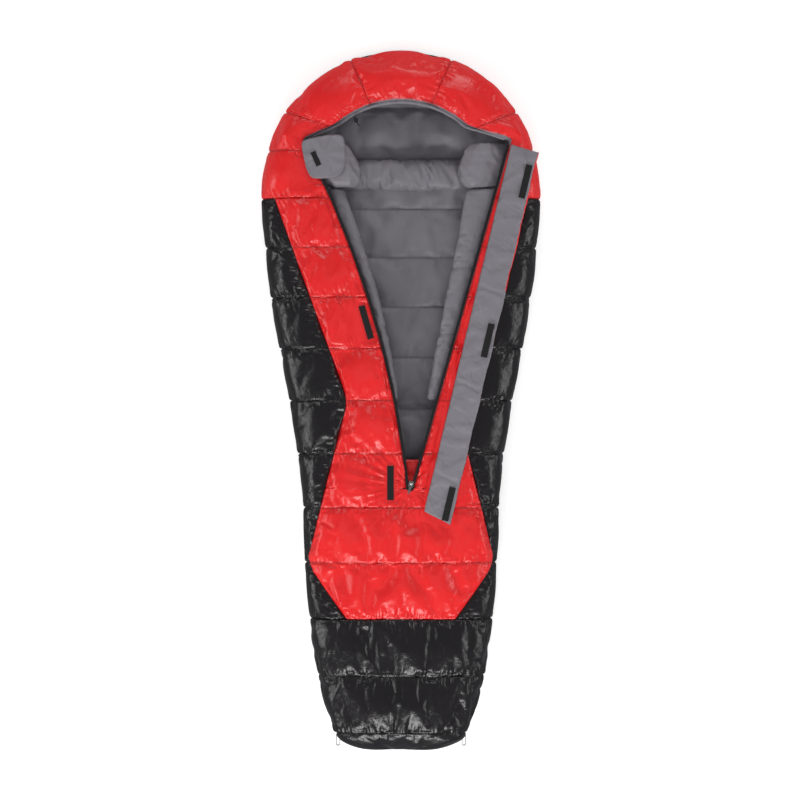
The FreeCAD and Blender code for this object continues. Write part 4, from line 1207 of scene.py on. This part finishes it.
def buildHooks():
    root, along, out, length = flapPlan()
    for word, share in hookPatch["places"].items():
        across = stormFlap["width"] - hookPatch["inset"] - hookPatch["width"] / 2
        centre = root + along * share * length + out * across
        bpy.ops.object.select_all(action="DESELECT")
        bpy.ops.mesh.primitive_grid_add(x_subdivisions=6, y_subdivisions=28, size=1,
                                        location=(*centre, hookPatch["z"]),
                                        rotation=(0, 0, -math.atan2(along[0], along[1])))
        patch = bpy.context.object
        patch.name = f"flapHook{word}"
        patch.scale = (hookPatch["width"], hookPatch["length"], 1)
        bpy.ops.object.transform_apply(location=True, rotation=True, scale=True)
        for vertex in patch.data.vertices:
            vertex.co.z -= flapSag(vertex.co.x, vertex.co.y)
        wall = patch.modifiers.new("thickness", "SOLIDIFY")
        wall.thickness, wall.offset = hookPatch["thickness"], 1
        bpy.ops.object.modifier_apply(modifier="thickness")
        edge = patch.modifiers.new("edge", "BEVEL")
        edge.width, edge.segments, edge.limit_method = 0.0004, 2, "ANGLE"
        bpy.ops.object.modifier_apply(modifier="edge")
        bpy.ops.object.shade_smooth_by_angle(angle=math.radians(35))
        addPiece(patch, pileBlack, "storm_flap", [f"flap_hook_{word.lower()}"])


buildCollarFlap()
buildStormFlap()
buildHooks()
print("flaps made")


def buildGusset():
    rows, columns = 22, 14
    start, stop = zipBottom - 0.010, zipBottom + 0.086
    grid = np.zeros((rows + 1, columns + 1, 3))
    for r in range(rows + 1):
        y = start + (stop - start) * r / rows
        left, right = edgeX(max(y, zipBottom), -1) + 0.001, edgeX(max(y, zipBottom), 1) - 0.001
        for c in range(columns + 1):
            grid[r, c] = (left + (right - left) * c / columns, y, 0)
    quiltedFlap("zipGusset", grid, 0.1500, 0.1640, [redNylon], "bag", ["zip_end_gusset"],
                edge=0.012, growth=0.02, pressure=1.0, travel=0.002, ripple=0.001)


buildGusset()


def buildSpring():  # the lock's coil, as its own piece with its own copy of the mesh
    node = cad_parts["cord_lock_spring"]
    spring = newObject("lockSpring", node.data.copy())
    spring.data.materials.clear()
    spring.data.materials.append(springSteel)
    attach(spring, "bag")
    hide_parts("cord_lock_spring")
    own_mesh(spring)


buildSpring()


# finishes for the CAD nodes that are kept as they are
keptFinish = {
    "zip_tape_left": tapeBlack, "zip_tape_right": tapeBlack, "zip_stops": toothBlack,
    "zip_teeth_left": toothBlack, "zip_teeth_right": toothBlack, "zip_slider": nickelPlate,
    "outer_pull": nickelPlate, "inner_pull": nickelPlate,
    "leg_loop_patch": pileBlack, "chest_loop_patch": pileBlack, "collar_tab_loop_patch": pileBlack,
    "foot_hang_loops": webbingBlack, "cord_lock_barrel": plasticBlack, "cord_lock_plunger": plasticBlack,
}
for name, material in keptFinish.items():
    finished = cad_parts[name].data.materials
    finished.clear()
    finished.append(material)
print("kept nodes finished")


studio = {"floorSize": 40.0, "floorColour": (0.93, 0.93, 0.93), "floorGlow": 0.45, "cameraHeight": 9.0,
          "framedHeight": 0.15, "framedWidth": 2.4536, "sensor": 36, "middle": (-0.003, -0.003),
          "lampColour": (1.0, 0.99, 0.98), "worldColour": (0.95, 0.97, 1.0, 1), "worldStrength": 0.20}
lamps = (("footLamp", (-0.5, -4.3, 2.5), (3.0, 0.9), 150), ("leftLamp", (-3.8, -0.6, 1.9), (0.9, 3.2), 55),
         ("rightLamp", (3.8, -0.4, 2.0), (0.9, 3.2), 45), ("headLamp", (0.6, 4.4, 2.6), (3.0, 1.0), 60),
         ("fillLamp", (0.0, 0.0, 5.0), (3.0, 3.0), 45))  # name, place, size, watts


def buildStudio():
    bpy.ops.mesh.primitive_plane_add(size=studio["floorSize"], location=(0, 0, -0.001))
    floor = bpy.context.object
    floor.name = "floor"
    floor.visible_glossy = False
    pale = newMaterial("paleFloor", studio["floorColour"], 0.9, Specular_IOR_Level=0.1,
                       Emission_Color=(1, 1, 1, 1), Emission_Strength=studio["floorGlow"])
    floor.data.materials.append(pale)
    camera = newObject("camera", bpy.data.cameras.new("camera"))
    camera.location = (*studio["middle"], studio["cameraHeight"])
    camera.data.sensor_width = studio["sensor"]
    reach = studio["cameraHeight"] - studio["framedHeight"]
    camera.data.lens = studio["sensor"] * reach / studio["framedWidth"]
    camera.data.clip_end = 100
    bpy.context.scene.camera = camera
    for name, place, size, power in lamps:
        data = bpy.data.lights.new(name, "AREA")
        data.shape, data.size, data.size_y = "RECTANGLE", size[0], size[1]
        data.energy, data.color = power, studio["lampColour"]
        lamp = newObject(name, data)
        lamp.visible_glossy = name != "fillLamp"
        lamp.location = place
        lamp.rotation_euler = (Vector((0, 0, 0.1)) - Vector(place)).to_track_quat("-Z", "Z").to_euler()
    world = bpy.data.worlds.new("world")
    bpy.context.scene.world = world
    world.use_nodes = True
    background = world.node_tree.nodes["Background"]
    background.inputs["Color"].default_value = studio["worldColour"]
    background.inputs["Strength"].default_value = studio["worldStrength"]
    bpy.context.scene.view_settings.view_transform = "Standard"


buildStudio()
